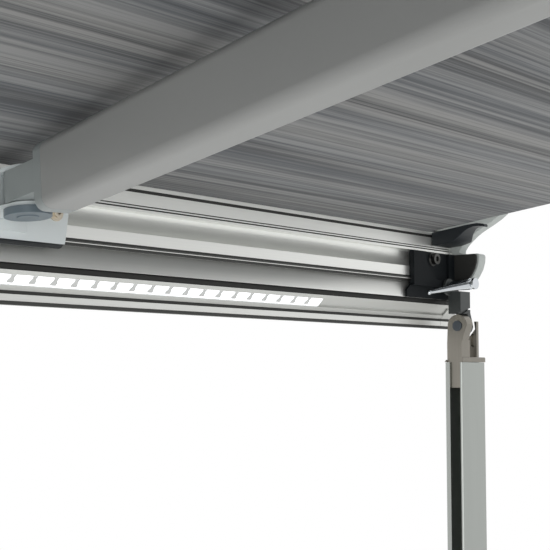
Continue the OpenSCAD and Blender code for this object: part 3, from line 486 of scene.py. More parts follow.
@dataclass(frozen=True)
class Canvas(Finish):
    """Coated awning fabric, with woven streaks that run along the rail. Its UV map is in metres."""

    dark: Triple = (0.016, 0.017, 0.019)
    light: Triple = (0.21, 0.21, 0.205)
    threads: float = 900.0

    def mix_paint(self, paint: Paint) -> None:
        """Streaks of several widths, a fine cross weave and its relief."""
        broad = paint.noise((0.35, 16.0, 1.0), 2.0, 0.5, uv=True)
        band = paint.noise((0.7, 75.0, 1.0), 2.0, 0.6, uv=True)
        thread = paint.noise((2.0, 300.0, 1.0), 3.0, 0.7, uv=True)
        slub = paint.noise((10.0, 800.0, 1.0), 2.0, 0.6, uv=True)
        tone = (0.5 + (broad - 0.5) * 1.7 + (band - 0.5) * 2.4 + (thread - 0.5) * 2.6
                + (slub - 0.5) * 0.9).clamped()
        hue = paint.noise((0.5, 30.0, 4.0), 2.0, uv=True)
        shade = paint.node("ShaderNodeValToRGB",
                           {"stops": [(0.0, self.dark), (0.35, self.colour), (1.0, self.light)]},
                           {0: tone})
        tinted = paint.mix(hue.step(0.35, 0.65) * 0.35, shade, paint.mix(0.5, shade, (0.12, 0.15, 0.19)))
        weft = paint.axis("Y", uv=True) * self.threads
        warp = paint.axis("X", uv=True) * self.threads
        weave = abs((weft % 1.0) - 0.5) + abs((warp % 1.0) - 0.5)
        paint.set(base_color=tinted, roughness=0.78 + (thread - 0.5) * 0.12,
                  normal=paint.bump(weave, 0.3, 0.00015, paint.bump(thread, 0.3, 0.0003)),
                  sheen_weight=0.15)


RAIL = RailAluminium("anodised rail", "rail_aluminium", (0.86, 0.87, 0.84), Grain.ALONG_X, 0.36, 0.045, 0.85)
LEG = Anodised("anodised leg", "leg_aluminium", (0.40, 0.42, 0.40), Grain.ALONG_Z, 0.42, 0.04)
INNER_LEG = Anodised("dark inner leg", "leg_insert", (0.20, 0.21, 0.21), Grain.ALONG_Z, 0.45, 0.06)
CASSETTE = Coated("cassette lacquer", "cassette_aluminium", (0.78, 0.79, 0.78), 0.38, 0.00006, 0.015, 0.2)
COVER = Moulded("light grey cover", "cover_grey", (0.44, 0.47, 0.455), 0.42)
BLACK = Moulded("black glass filled plastic", "black_plastic", (0.007, 0.009, 0.0105), 0.55, shine=0.14)
PLATE = Moulded("dark end plate", "dark_plate", (0.034, 0.034, 0.032), 0.5, shine=0.2)
CASTING = Coated("painted casting", "casting", (0.62, 0.665, 0.67), 0.4, 0.0002, 0.06)
BRACKET = BracketPaint("painted bracket", "casting", (0.62, 0.665, 0.67), 0.4, 0.0002, 0.06)
# Painted shade: a darker copy of the casting paint, for the arms' castings.
SHADED_CASTING = Coated("shaded arm casting", "casting", (0.25, 0.275, 0.275), 0.4, 0.0002, 0.06)
TUBE = Coated("arm powder coat", "arm_coating", (0.27, 0.275, 0.27), 0.42, 0.00008, 0.02)
STEEL = Steel("zinc plated steel", "steel", (0.50, 0.50, 0.48), Grain.EVEN, 0.34)
BOLT = Steel("passivated bolt", "bolt_zinc", (0.62, 0.56, 0.46), Grain.EVEN, 0.4)
CHROME = Steel("polished chrome", "chrome", (0.62, 0.65, 0.68), Grain.EVEN, 0.12, 0.01)
BRONZE = Steel("machined bronze", "bronze", (0.64, 0.46, 0.22), Grain.EVEN, 0.3)
SWIVEL = Coated("dark swivel paint", "swivel_grey", (0.040, 0.045, 0.044), 0.45, 0.0001, 0.05)
# Painted reflection: the fork steel's brown tint stands for what it reflects.
FORK = Steel("brushed fork steel", "fork_steel", (0.26, 0.245, 0.215), Grain.ALONG_Z, 0.4, 0.12)
DIVIDER = Moulded("light divider", "leg_insert", (0.60, 0.61, 0.60), 0.4)
DARK_STEEL = Steel("darkened steel", "steel", (0.11, 0.11, 0.105), Grain.EVEN, 0.36)
WING = Moulded("blue black wing", "black_plastic", (0.015, 0.0185, 0.022), 0.4, shine=0.25)
PIN = Coated("dark lean bolt", "steel", (0.055, 0.068, 0.080), 0.42, 0.00006, 0.04)
KNUCKLE = Coated("blue grey knuckle", "steel", (0.13, 0.165, 0.19), 0.4, 0.00006, 0.04)
RUBBER = Rubber("black rubber", "rubber", (0.018, 0.018, 0.018))
LIGHTS = LightStrip("lit lens", "led_lens", (0.95, 0.97, 1.0))
FABRIC = Canvas("striped awning fabric", "awning_fabric", (0.078, 0.081, 0.083))


RAIL_AT = Vector((0.0, -2349.28, -221.59))
RAIL_HALF = 1750.0
SHOULDER_X = 1210.0
ARM_FALL = math.radians(5.2)
BORE = 4.05
WELD = 1e-3


def put_in_scene(name: str, data: bpy.types.ID) -> bpy.types.Object:
    """A new object that holds the data, linked to the scene."""
    thing = bpy.data.objects.new(name, data)
    bpy.context.scene.collection.objects.link(thing)
    return thing


class Solid:
    """A closed mesh in millimetres. Python's + joins two of them and - cuts one out of another."""

    def __init__(self, shape: bmesh.types.BMesh) -> None:
        """Wraps a bmesh."""
        self.shape = shape

    @staticmethod
    def prism(points: Sequence[Pair], along: str, low: float, high: float) -> "Solid":
        """Runs an outline along an axis.

        Args:
            points: Corners on the two other axes, in the order x, y, z.
            along: The axis, "x", "y" or "z".
            low: Where the run starts.
            high: Where it ends.

        Returns:
            The prism.
        """
        axis = "xyz".index(along)
        step = [high - low if index == axis else 0.0 for index in range(3)]
        shape = bmesh.new()
        corners = [shape.verts.new((*point[:axis], low, *point[axis:])) for point in points]
        shape.faces.new(corners)
        made = bmesh.ops.extrude_face_region(shape, geom=shape.faces[:])
        moved = [item for item in made["geom"] if isinstance(item, bmesh.types.BMVert)]
        bmesh.ops.translate(shape, verts=moved, vec=step)
        bmesh.ops.recalc_face_normals(shape, faces=shape.faces)
        return Solid(shape)

    @staticmethod
    def rod(start: Triple, end: Triple, radius: float, tip: float | None = None, sides: int = 40) -> "Solid":
        """A round bar between two points, which may taper to another radius at its tip."""
        base = Vector(start)
        reach = Vector(end) - base
        turn = reach.to_track_quat("Z", "Y").to_matrix().to_4x4()
        shape = bmesh.new()
        bmesh.ops.create_cone(shape, cap_ends=True, segments=sides, radius1=radius,
                              radius2=radius if tip is None else tip, depth=reach.length,
                              matrix=Matrix.Translation(base + reach / 2) @ turn)
        return Solid(shape)

    @staticmethod
    def bar(centre: Pair, low: float, high: float, radius: float, sides: int = 40) -> "Solid":
        """A round bar along Y between two depths, about a point in X and Z."""
        return Solid.rod((centre[0], low, centre[1]), (centre[0], high, centre[1]), radius, sides=sides)

    @staticmethod
    def ball(centre: Triple, radius: float) -> "Solid":
        """A sphere."""
        shape = bmesh.new()
        bmesh.ops.create_uvsphere(shape, u_segments=24, v_segments=16, radius=radius,
                                  matrix=Matrix.Translation(centre))
        return Solid(shape)

    @staticmethod
    def box(low: Triple, high: Triple) -> "Solid":
        """A block between two corners."""
        return Solid.prism([(low[1], low[2]), (high[1], low[2]), (high[1], high[2]), (low[1], high[2])],
                           "x", low[0], high[0])

    def _as_object(self, name: str) -> bpy.types.Object:
        """Puts the mesh in the scene for a moment."""
        mesh = bpy.data.meshes.new(name)
        self.shape.to_mesh(mesh)
        self.shape.free()
        return put_in_scene(name, mesh)

    def _combine(self, other: "Solid", operation: str) -> "Solid":
        """Joins or cuts with a Boolean, and frees both parts."""
        first = self._as_object("blank")
        second = other._as_object("tool")
        cut = first.modifiers.new("cut", "BOOLEAN")
        cut.operation = operation
        cut.solver = "EXACT"
        cut.object = second
        result = first.evaluated_get(bpy.context.evaluated_depsgraph_get()).to_mesh()
        shape = bmesh.new()
        shape.from_mesh(result)
        for piece in (first, second):
            mesh = piece.data
            bpy.data.objects.remove(piece)
            bpy.data.meshes.remove(mesh)
        bmesh.ops.remove_doubles(shape, verts=shape.verts, dist=WELD)
        return Solid(shape)

    def __add__(self, other: "Solid") -> "Solid":
        """Joins the two."""
        return self._combine(other, "UNION")

    def __sub__(self, other: "Solid") -> "Solid":
        """Cuts the other one out."""
        return self._combine(other, "DIFFERENCE")

    def turned(self, angle: float, centre: Triple) -> "Solid":
        """Turned about an axis along X."""
        bmesh.ops.rotate(self.shape, verts=self.shape.verts, cent=centre,
                         matrix=Matrix.Rotation(angle, 3, "X"))
        return self

    def both_ends(self) -> "Solid":
        """With its mirror image across X = 0."""
        whole = self.shape.verts[:] + self.shape.edges[:] + self.shape.faces[:]
        twin = bmesh.ops.duplicate(self.shape, geom=whole)
        verts = [item for item in twin["geom"] if isinstance(item, bmesh.types.BMVert)]
        faces = [item for item in twin["geom"] if isinstance(item, bmesh.types.BMFace)]
        bmesh.ops.scale(self.shape, verts=verts, vec=(-1.0, 1.0, 1.0))
        bmesh.ops.reverse_faces(self.shape, faces=faces)
        return self

    def on_side(self, side: Side) -> "Solid":
        """Moved to one end of the awning; shapes are drawn for the right one."""
        if side is Side.LEFT:
            bmesh.ops.scale(self.shape, verts=self.shape.verts, vec=(-1.0, 1.0, 1.0))
            bmesh.ops.reverse_faces(self.shape, faces=self.shape.faces)
        return self

    def at(self, x: float, y: float, z: float) -> "Solid":
        """Moved by that much."""
        bmesh.ops.translate(self.shape, verts=self.shape.verts, vec=(x, y, z))
        return self

    def at_rail(self, x: float = 0.0) -> "Solid":
        """Moved from the rail's own axes to the awning's, and by x along the rail."""
        return self.at(RAIL_AT.x + x, RAIL_AT.y, RAIL_AT.z)

    def metres(self) -> bmesh.types.BMesh:
        """The mesh in metres, ready for an object."""
        bmesh.ops.scale(self.shape, verts=self.shape.verts, vec=(MM, MM, MM))
        return self.shape


def arc(centre: Pair, radius: float, start: float, end: float, steps: int) -> list[Pair]:
    """Points on an arc, from one angle to another in degrees."""
    angles = [math.radians(start + (end - start) * step / steps) for step in range(steps + 1)]
    return [(centre[0] + radius * math.cos(a), centre[1] + radius * math.sin(a)) for a in angles]


def rounded(low: Pair, high: Pair, radius: float, steps: int = 6) -> list[Pair]:
    """Outline of a rectangle with round corners."""
    corners = [((high[0] - radius, low[1] + radius), -90), ((high[0] - radius, high[1] - radius), 0),
               ((low[0] + radius, high[1] - radius), 90), ((low[0] + radius, low[1] + radius), 180)]
    return [point for centre, start in corners for point in arc(centre, radius, start, start + 90, steps)]


@dataclass(frozen=True)
class RailSection:
    """Section of the lead rail: first coordinate towards the wall, second up from the fabric line."""

    foot: float = -91.0
    foot_out: float = -22.0
    top: float = 58.0
    top_out: float = -27.0
    bulge: float = 15.5
    skin: float = 2.6
    box_top: float = 5.0
    cord_at: float = -4.6
    cord_radius: float = 3.45
    ledge: Pair = (-18.3, -20.4)
    channel_radius: float = 19.6
    channel_foot: float = -35.5
    light_top: float = -69.3
    light_drop: float = 12.4
    recess: Pair = (3.87, 13.07)
    recess_depth: float = 1.6

    def skin_line(self, low: float, high: float, inset: float, steps: int) -> list[Pair]:
        """Points on the front skin between two heights, set in by so much."""
        chord = math.hypot(self.top_out - self.foot_out, self.top - self.foot)
        radius = chord * chord / (8 * self.bulge) + self.bulge / 2
        normal = (-(self.top - self.foot) / chord, (self.top_out - self.foot_out) / chord)
        centre = ((self.foot_out + self.top_out) / 2 - normal[0] * (radius - self.bulge),
                  (self.foot + self.top) / 2 - normal[1] * (radius - self.bulge))
        heights = [low + (high - low) * step / steps for step in range(steps + 1)]
        return [(centre[0] - math.sqrt((radius - inset) ** 2 - (w - centre[1]) ** 2), w) for w in heights]

    def on_light_face(self, run: float, depth: float) -> Pair:
        """A point on the sloping light face: so far down the slope, and so deep."""
        lean = math.sqrt(0.5)
        return (-(run + depth) * lean, self.light_top - (run - depth) * lean)

    def wall_side(self) -> list[Pair]:
        """The wall side from the fabric's groove down to the light face."""
        upper = math.degrees(math.asin(1.6 / self.cord_radius))
        lower = math.degrees(math.asin(0.6 / self.cord_radius))

        def line(high: float, low: float, deep: float) -> list[Pair]:
            """A square groove between two heights."""
            return [(0.0, high), (-deep, high), (-deep, low), (0.0, low)]

        centre = (self.channel_radius * math.cos(math.radians(40)),
                  self.channel_foot + self.channel_radius * math.sin(math.radians(40)))
        groove = arc((self.cord_at, 0.0), self.cord_radius, upper, 360 - lower, 20)
        groove = [(0.0, 1.6)] + groove + [(0.0, -0.6)]
        heights = [self.ledge[1] + (self.channel_foot - self.ledge[1]) * step / 16 for step in range(17)]
        channel = [(centre[0] - math.sqrt(self.channel_radius ** 2 - (height - centre[1]) ** 2), height)
                   for height in heights]
        return (groove + line(-3.6, -5.9, 2.4) + line(-15.1, -15.8, 1.2) + line(-17.0, -17.9, 1.2)
                + [(0.0, self.ledge[0]), (2.2, self.ledge[0]), (2.2, self.ledge[1])] + channel
                + line(-44.2, -45.5, 1.2)
                + [(0.0, -45.8), (1.4, -45.8), (1.4, -47.4), (-1.2, -47.4), (-1.2, -48.9), (-5.0, -48.9),
                   (0.0, -64.2), (0.0, -64.5), (-7.0, -64.5), (-7.0, -69.0), (0.0, -69.0),
                   (0.0, self.light_top)])

    def light_side(self) -> list[Pair]:
        """The sloping face with the recess of the lights, the step under it and the foot."""
        drop, deep = self.light_drop, self.recess_depth
        low = self.light_top - drop
        start, end = self.recess
        return [self.on_light_face(start, 0.0), self.on_light_face(start, deep),
                self.on_light_face(end, deep), self.on_light_face(end, 0.0),
                (-drop, low), (-drop - 2.4, low), (-drop - 2.4, low - 2.2), (-drop, low - 2.2),
                (-drop, self.foot + 2.4), (-drop - 1.8, self.foot + 1.8), (-drop - 1.8, self.foot)]

    def outline(self) -> list[Pair]:
        """The whole section, once round."""
        front = self.skin_line(self.foot, self.top, 0.0, 28)
        bead = arc((front[-1][0] + 1.5, self.top - 0.6), 1.7, 160, -60, 8)
        gutter_w = self.top - 13.5
        inner = self.skin_line(self.box_top, self.top - 3.0, self.skin, 14)[::-1]
        above = [point for point in inner if point[1] > gutter_w + 2.4]
        below = [point for point in inner if point[1] < gutter_w - 0.4]
        out = self.skin_line(gutter_w, gutter_w + 1.6, self.skin, 1)
        gutter = [out[1], (out[0][0] + 7.0, gutter_w + 1.6), (out[0][0] + 7.0, gutter_w + 5.0),
                  (out[0][0] + 8.6, gutter_w + 5.0), (out[0][0] + 8.6, gutter_w), out[0]]
        return (front[:-1] + bead + above + gutter + below + [(0.0, self.box_top)]
                + self.wall_side() + self.light_side())

    def end_outline(self, top: float) -> list[Pair]:
        """The part of the section under a height, for the cover on the rail's end."""
        front = self.skin_line(self.foot, top, 0.0, 16)
        return front + [(-4.0, top), (-1.2, -47.4), (-1.2, -48.9), (-5.0, -48.9), (0.0, -64.2), (-7.0, -64.5),
                        (-7.0, -69.0), (0.0, -69.2), (0.0, self.light_top)] + self.light_side()[4:]


SECTION = RailSection()


@dataclass
class Assembly:
    """Base of the sub-assemblies: dresses CAD nodes and keeps a list of what was made."""

    made: list[str] = field(default_factory=list, init=False)

    def keep(self, piece: bpy.types.Object, body: str, finish: Finish) -> bpy.types.Object:
        """Gives a piece its finish, and lets it ride on a body.

        Args:
            piece: The piece, already in place.
            body: Body that it moves with.
            finish: Its finish.

        Returns:
            The same piece.
        """
        piece.data.materials.clear()
        piece.data.materials.append(finish.material())
        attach(piece, body)
        self.made.append(piece.name)
        return piece

    def new_piece(self, name: str, shape: bmesh.types.BMesh, body: str, finish: Finish,
                  smooth_angle: float = 38.0) -> bpy.types.Object:
        """Makes an object from a bmesh and keeps it."""
        mesh = bpy.data.meshes.new(name)
        smooth_by_angle(shape, smooth_angle)
        shape.to_mesh(mesh)
        shape.free()
        return self.keep(put_in_scene(name, mesh), body, finish)

    @staticmethod
    def round_edges(piece: bpy.types.Object, width: float, segments: int = 2, angle: float = 30.0) -> None:
        """Rounds a piece's edges.

        Args:
            piece: The piece.
            width: Width of the rounded edges, in millimetres.
            segments: Steps across an edge.
            angle: Edges sharper than this are rounded, in degrees.
        """
        bevel = piece.modifiers.new("rounded edges", "BEVEL")
        bevel.width = width * MM
        bevel.segments = segments
        bevel.limit_method = "ANGLE"
        bevel.angle_limit = math.radians(angle)
        bevel.harden_normals = True
        bevel.miter_outer = "MITER_ARC"

    def stand_in(self, name: str, solid: Solid, body: str, finish: Finish, edge: float, node: str) -> None:
        """Puts a drawn piece in the place of a CAD node.

        Args:
            name: The piece's name.
            solid: Its shape, where it belongs.
            body: Body that it moves with.
            finish: Its finish.
            edge: Width of its rounded edges, in millimetres.
            node: The CAD node.
        """
        piece = self.new_piece(name, solid.metres(), body, finish)
        self.round_edges(piece, edge, 3)
        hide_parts(node)

    def soften_all(self, rows: Sequence[tuple[str, Finish, float]], prefix: str = "") -> None:
        """Softens nodes, each with its finish and the width of its edges."""
        for node, finish, width in rows:
            self.soften(prefix + node, finish, width)

    def soften(self, node: str, finish: Finish, width: float, segments: int = 2,
               angle: float = 30.0) -> bpy.types.Object:
        """Stands a copy with rounded edges in for a rigid CAD node.

        Args:
            node: The CAD node.
            finish: Finish of the copy.
            width: Width of the rounded edges, in millimetres.
            segments: Steps across an edge.
            angle: Edges sharper than this are rounded, in degrees.

        Returns:
            The copy.
        """
        source = frame["nodes"][node]
        shape = bmesh.new()
        shape.from_mesh(source.data)
        bmesh.ops.remove_doubles(shape, verts=shape.verts, dist=2e-6)
        bmesh.ops.dissolve_limit(shape, angle_limit=math.radians(0.6), verts=shape.verts, edges=shape.edges)
        piece = self.new_piece(node + "_shell", shape, source["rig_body"], finish)
        if width > 0:
            self.round_edges(piece, width, segments, angle)
        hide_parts(node)
        return piece


def smooth_by_angle(shape: bmesh.types.BMesh, degrees: float) -> None:
    """Shades a mesh smooth, apart from edges sharper than the angle."""
    for face in shape.faces:
        face.smooth = True
    limit = math.radians(degrees)
    for edge in shape.edges:
        edge.smooth = len(edge.link_faces) == 2 and edge.calc_face_angle(0.0) < limit


@dataclass
class LeadRail(Assembly):
    """The lead rail with its lights."""

    edge: float = 0.22
    lights: int = 173
    pitch: float = 18.0

    def build(self) -> None:
        """Makes the extrusion, the strip of lights and the cord in its groove."""
        rail = Solid.prism(SECTION.outline(), "x", -RAIL_HALF, RAIL_HALF).at_rail()
        piece = self.new_piece("rail_extrusion", rail.metres(), "lead_rail", RAIL, 32.0)
        self.round_edges(piece, self.edge, 2, 36.0)
        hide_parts("lead_rail")
        self.light_strip()
        self.soften("keder_rod", FABRIC, 0.0)
        self.soften("leg_clips", BLACK, 0.4)

    def light_strip(self) -> None:
        """A lit lens in the recess, with a divider between every two lights."""
        half = self.lights * self.pitch / 2
        top, bottom = SECTION.recess[0] + 0.4, SECTION.recess[1] - 0.4
        outline = [SECTION.on_light_face(top, 1.58), SECTION.on_light_face(bottom, 1.58),
                   SECTION.on_light_face(bottom, 0.5), SECTION.on_light_face(top, 0.5)]
        lens = self.new_piece("light_lens", Solid.prism(outline, "x", -half, half).at_rail().metres(),
                              "lead_rail", LIGHTS)
        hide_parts("led_strip")
        dividers = bmesh.new()
        half_shape = [(2.1, 0.0), (1.6, 2.2), (2.7, 4.8), (2.9, 6.2), (2.3, 6.9)]
        corners = half_shape + [(-across, run) for across, run in reversed(half_shape)]
        for number in range(1, self.lights):
            x = -half + number * self.pitch
            ring = []
            for depth in (0.48, 0.22):
                ring.append([dividers.verts.new((x + across, *SECTION.on_light_face(top + run, depth)))
                             for across, run in corners])
            dividers.faces.new(ring[1])
            for index in range(len(corners)):
                after = (index + 1) % len(corners)
                dividers.faces.new((ring[0][index], ring[0][after], ring[1][after], ring[1][index]))
        bmesh.ops.recalc_face_normals(dividers, faces=dividers.faces)
        self.new_piece("light_dividers", Solid(dividers).at_rail().metres(), "lead_rail", DIVIDER)


@dataclass
class RailEnds(Assembly):
    """Cap, cover, plate, hook and bolt at both ends of the rail. Axes: out, to the wall, up."""

    cap_face: float = 5.8
    cap_floor: float = 3.0
    bolt: Pair = (-35.5, -27.0)
    pivot: Pair = (-16.0, -52.5)
    cover: float = 12.0
    lip: float = 19.5

    def build(self) -> None:
        """Makes the pieces of both ends."""
        rows = (("end_cap", self.cap(), BLACK, 0.5, "rail_caps"),
                ("cap_bolt", self.bolt_head(), DARK_STEEL, 0.3, "cap_bolts"),
                ("end_cover", self.end_cover(), COVER, 0.8, "end_covers"),
                ("rail_end", self.rail_end(), RAIL, 0.25, "end_covers"),
                ("end_plate", self.plate(), PLATE, 0.4, "end_plates"))
        for name, solid, finish, edge, node in rows:
            self.stand_in(name, solid.at_rail(RAIL_HALF).both_ends(), "lead_rail", finish, edge, node)
        self.soften("hook_wings", WING, 0.6)

    def cap(self) -> Solid:
        """The black cap with its slanting recess and the lower flange."""
        body = Solid.prism([(-70, -20.8), (-70, -52), (-71, -53.3), (-2.3, -53.3), (-2.3, -20.8)],
                           "y", 0.3, self.cap_face)
        flange = Solid.prism([(-71, -52.8), (-77, -58), (-77, -64.3), (-2.3, -64.3), (-2.3, -52.8)],
                             "y", 0.3, 2.4)
        hub = Solid.bar(self.pivot, 0.4, 6.2, 6.0)
        recess = Solid.prism([(-12, -19), (-50, -19), (-50, -27), (-48.6, -31), (-46, -34.4), (-33, -46.2),
                              (-12, -46.2)], "y", self.cap_floor, 10.0)
        notch = Solid.box((-90, -1, -48.2), (10, 1.9, -45.2))
        bore = Solid.bar(self.pivot, -1, 9, BORE)
        hole = Solid.bar(self.bolt, -1, 8, 3.2)
        return body + flange + hub - recess - notch - bore - hole

    def bolt_head(self) -> Solid:
        """A socket head on its washer, in the cap's recess."""
        floor = self.cap_floor
        washer = Solid.bar(self.bolt, floor + 0.02, floor + 0.9, 6.6)
        head = Solid.bar(self.bolt, floor + 0.8, floor + 5.6, 5.2)
        socket = Solid.bar(self.bolt, floor + 2.4, floor + 7, 2.7, sides=6)
        shank = Solid.bar(self.bolt, 0.4, floor + 0.4, 3.0)
        return washer + head + shank - socket

    def wall_edge(self) -> list[Pair]:
        """Wall side of the cover: a tip that hooks back, an S curve, a notch and a round foot."""
        top = [(-24, 60.3), (0, 55), (24, 45), (44, 33), (58, 26.5), (61, 23), (60.5, 19.5), (57, 15.6),
               (51, 11.4), (43.3, 7.2), (36, 3.6), (29.3, 0.2), (24, -3.2), (19.2, -7), (15.6, -10),
               (13.1, -12.6), (11, -15.6), (10, -18.6), (14, -20.4)]
        foot = arc((29, -23.6), 3.2, 90, 0, 6) + [(31.8, -28.5), (29.6, -35.5), (26, -41.5), (22.6, -45.8)]
        return top + foot

    def end_cover(self) -> Solid:
        """The light grey cover, whose lower part carries on the rail's own section."""
        front = SECTION.skin_line(-45.4, SECTION.top + 1.3, -1.3, 14)
        return Solid.prism(front + self.wall_edge() + [(-4, -46.3)], "x", 0.3, self.cover)

    def rail_end(self) -> Solid:
        """The lower end piece, which carries on the rail's bands and stands out under the swivel."""
        body = Solid.prism(SECTION.end_outline(-46.6), "x", 0.3, self.cover)
        edge = [(-1.5, SECTION.light_top)] + SECTION.light_side()[4:] + [(-19, SECTION.foot), (-19, -72)]
        lip = Solid.prism(edge, "x", self.cover - 1.0, self.lip)
        upper_edge = [(0, -69.0), (0, -69.3), (-1.6, -70.9), (-12, -70.9), (-12, -69.0)]
        return body + lip + Solid.prism(upper_edge, "x", 0.3, self.lip)

    def plate(self) -> Solid:
        """The dark plate that stands out from the rail's face beside the cap."""
        edge = arc((27.4, -23.4), 2.6, 90, 0, 6) + [(30, -28.5), (28, -35), (24.6, -40.8), (21.4, -44.8)]
        body = Solid.prism([(0.6, -46), (0.6, -20.8), (24, -20.8)] + edge, "x", -2.0, -0.02)
        return body - Solid.box((-5, -1, -48.2), (2, 1.9, -45.2))


@dataclass
class Leg(Assembly):
    """One folding leg with its swivel, fork, clamp and foot. Axes as at the rail's end."""

    side: Side = Side.LEFT
    pivot: Pair = (-16.0, -52.5)
    lean: Pair = (14.5, -89.6)
    centre: Pair = (6.5, 10.9)
    width: float = 42.0
    depth: float = 19.4
    wall: float = 2.0
    corner: float = 2.6
    slot: float = 11.4
    top: float = -124.0
    foot: float = -1374.0

    def build(self) -> None:
        """Makes the leg's head and dresses the rest."""
        side = self.side.word
        rows = (("swivel_block", self.swivel(), "swivel", SWIVEL, 0.6, "leg_swivel"),
                ("swivel_lever", self.lever_pin(), "swivel", CHROME, 0.3, "swivel_pin"),
                ("leg_head", self.fork(), "leg", FORK, 0.5, "leg_fork"),
                ("lean_bolt", self.lean_bolt(), "leg", PIN, 0.3, "lean_pin"),
                ("leg_profile", self.profile(), "leg", LEG, 0.3, "outer_leg"))
        for name, solid, body, finish, edge, node in rows:
            self.stand_in(f"{side}_{name}", solid.at_rail(RAIL_HALF).on_side(self.side), f"{side}_{body}",
                          finish, edge, f"{side}_{node}")
        self.soften_all((("leg_clamp", BLACK, 0.7), ("inner_leg", INNER_LEG, 0.3), ("foot", RUBBER, 1.2),
                         ("clamp_lever", CHROME, 0.7)), f"{side}_")

    def swivel(self) -> Solid:
        """Boss on the pin, a block with a slanting underside, and the lug of the lean bolt."""
        up = self.pivot[1]
        v, w = self.lean
        boss = Solid.bar(self.pivot, 6.6, 9.1, 8.0)
        neck = Solid.prism([(-24, up), (-14.5, -61), (-14.5, -76.8), (2.3, -72.2), (2.3, -57), (-8.5, -50)],
                           "y", 6.5, 9.0)
        block = Solid.prism([(-14.5, -57), (-14.5, -76.8), (2.3, -72.2), (2.3, -57)], "y", 6.4, 20.0)
        collar = Solid.prism([(-14.5, -70), (-14.5, -78), (2.8, -78), (2.8, -70)], "y", 6.45, 17.5)
        wedge = Solid.prism([(-9, -78), (2.8, -78), (2.8, -73.8)], "y", 6.6, 19.0)
        lug = Solid.prism([(6.5, -74)] + arc(self.lean, 7.5, 180, 360, 16) + [(19, -77), (19, -74)],
                          "x", -1.2, 4.2)
        bore = Solid.bar(self.pivot, 0, 40, BORE)
        eye = Solid.rod((-40, v, w), (40, v, w), BORE)
        return boss + neck + block + collar + wedge + lug - bore - eye

    def lever_pin(self) -> Solid:
        """The bright pin with a tapered lever that ends in a ball."""
        out, up = self.pivot
        head = (out, 32.0, up + 1.8)
        tip = (out - 35.0, 9.4, up - 7.0)
        shank = Solid.bar(self.pivot, 0.7, 9.6, 4.0)
        neck = Solid.rod((out, 9.2, up + 0.6), (out, 32.2, up + 1.6), 4.4, 5.4)
        button = Solid.bar((out, head[2]), 31.5, 36.2, 2.4)
        knob = Solid.bar((out, head[2]), 35.6, 38.0, 5.4)
        lever = Solid.rod(head, tip, 4.7, 1.5)
        return shank + neck + button + knob + lever + Solid.ball(tip, 2.3)

    def fork(self) -> Solid:
        """Round head, web, outer ear with its horn and pocket, and the cap on the leg."""
        v, w = self.lean
        s, mid = self.centre
        near, far = mid - 8.0, mid + 8.0
        back, front = mid - self.depth / 2, mid + self.depth / 2
        left, right = s - self.width / 2, s + self.width / 2
        top = self.top
        low = top - 24
        head = Solid.prism(arc(self.lean, 10.8, 8, 172, 20)
                           + [(near, -106), (near, low), (far, low), (far, -106)], "x", -12.1, -1.5)
        web = Solid.prism([(near, -106), (near, low), (far, low), (far, -103)], "x", -2.5, 2.5)
        ear = Solid.prism([(near + 1, -102), (near + 1, low), (far, low), (far, -84.6), (far - 2.7, -84.6),
                           (far - 1.6, -92), (far - 7, -98)], "x", 14.8, 18.6)
        bridge = Solid.box((-4, near + 0.1, low), (15.8, far - 0.1, low + 18))
        cap = Solid.prism([(back, top + 0.3), (front, top + 0.3), (front, top + 4.2), (front - 0.8, top + 5),
                           (back + 4, top + 5)], "x", left, right)
        clear = Solid.box((left - 1, near, top), (-12.1, mid + self.depth, top + 7))
        pocket = Solid.prism(rounded((far - 6.6, -109), (far - 1.4, -96.4), 2.4), "x", 13.8, 17.0)
        eye = Solid.rod((-40, v, w), (12, v, w), BORE)
        return head + web + ear + bridge + cap - clear - pocket - eye

    def lean_bolt(self) -> Solid:
        """The bolt through the head and the lug, flush on the outside."""
        v, w = self.lean
        return (Solid.rod((-12.5, v, w), (5.2, v, w), 4.0) + Solid.rod((-13.1, v, w), (-12.12, v, w), 5.0)
                + Solid.rod((4.22, v, w), (6.2, v, w), 5.6))

    def profile(self) -> Solid:
        """The outer leg: a box section with a slot in its inner face."""
        s, mid = self.centre
        left, right = s - self.width / 2, s + self.width / 2
        near, far = mid - self.depth / 2, mid + self.depth / 2
        t = self.wall
        gap_far = far - t - 0.2
        gap_near = gap_far - self.slot
        r = self.corner
        outer = arc((right - r, near + r), r, -90, 0, 6) + arc((right - r, far - r), r, 0, 90, 6)
        outer += arc((left + r, far - r), r, 90, 180, 6)[:-1]
        inner = [(left + t, far - t), (right - t, far - t), (right - t, near + t), (left + t, near + t)]
        start = [(left, near + r)] + arc((left + r, near + r), r, 180, 270, 6)[1:]
        outline = ([(left, gap_near)] + start + outer + [(left, gap_far), (left + t, gap_far)] + inner
                   + [(left + t, gap_near)])
        return Solid.prism(outline, "z", self.foot, self.top)


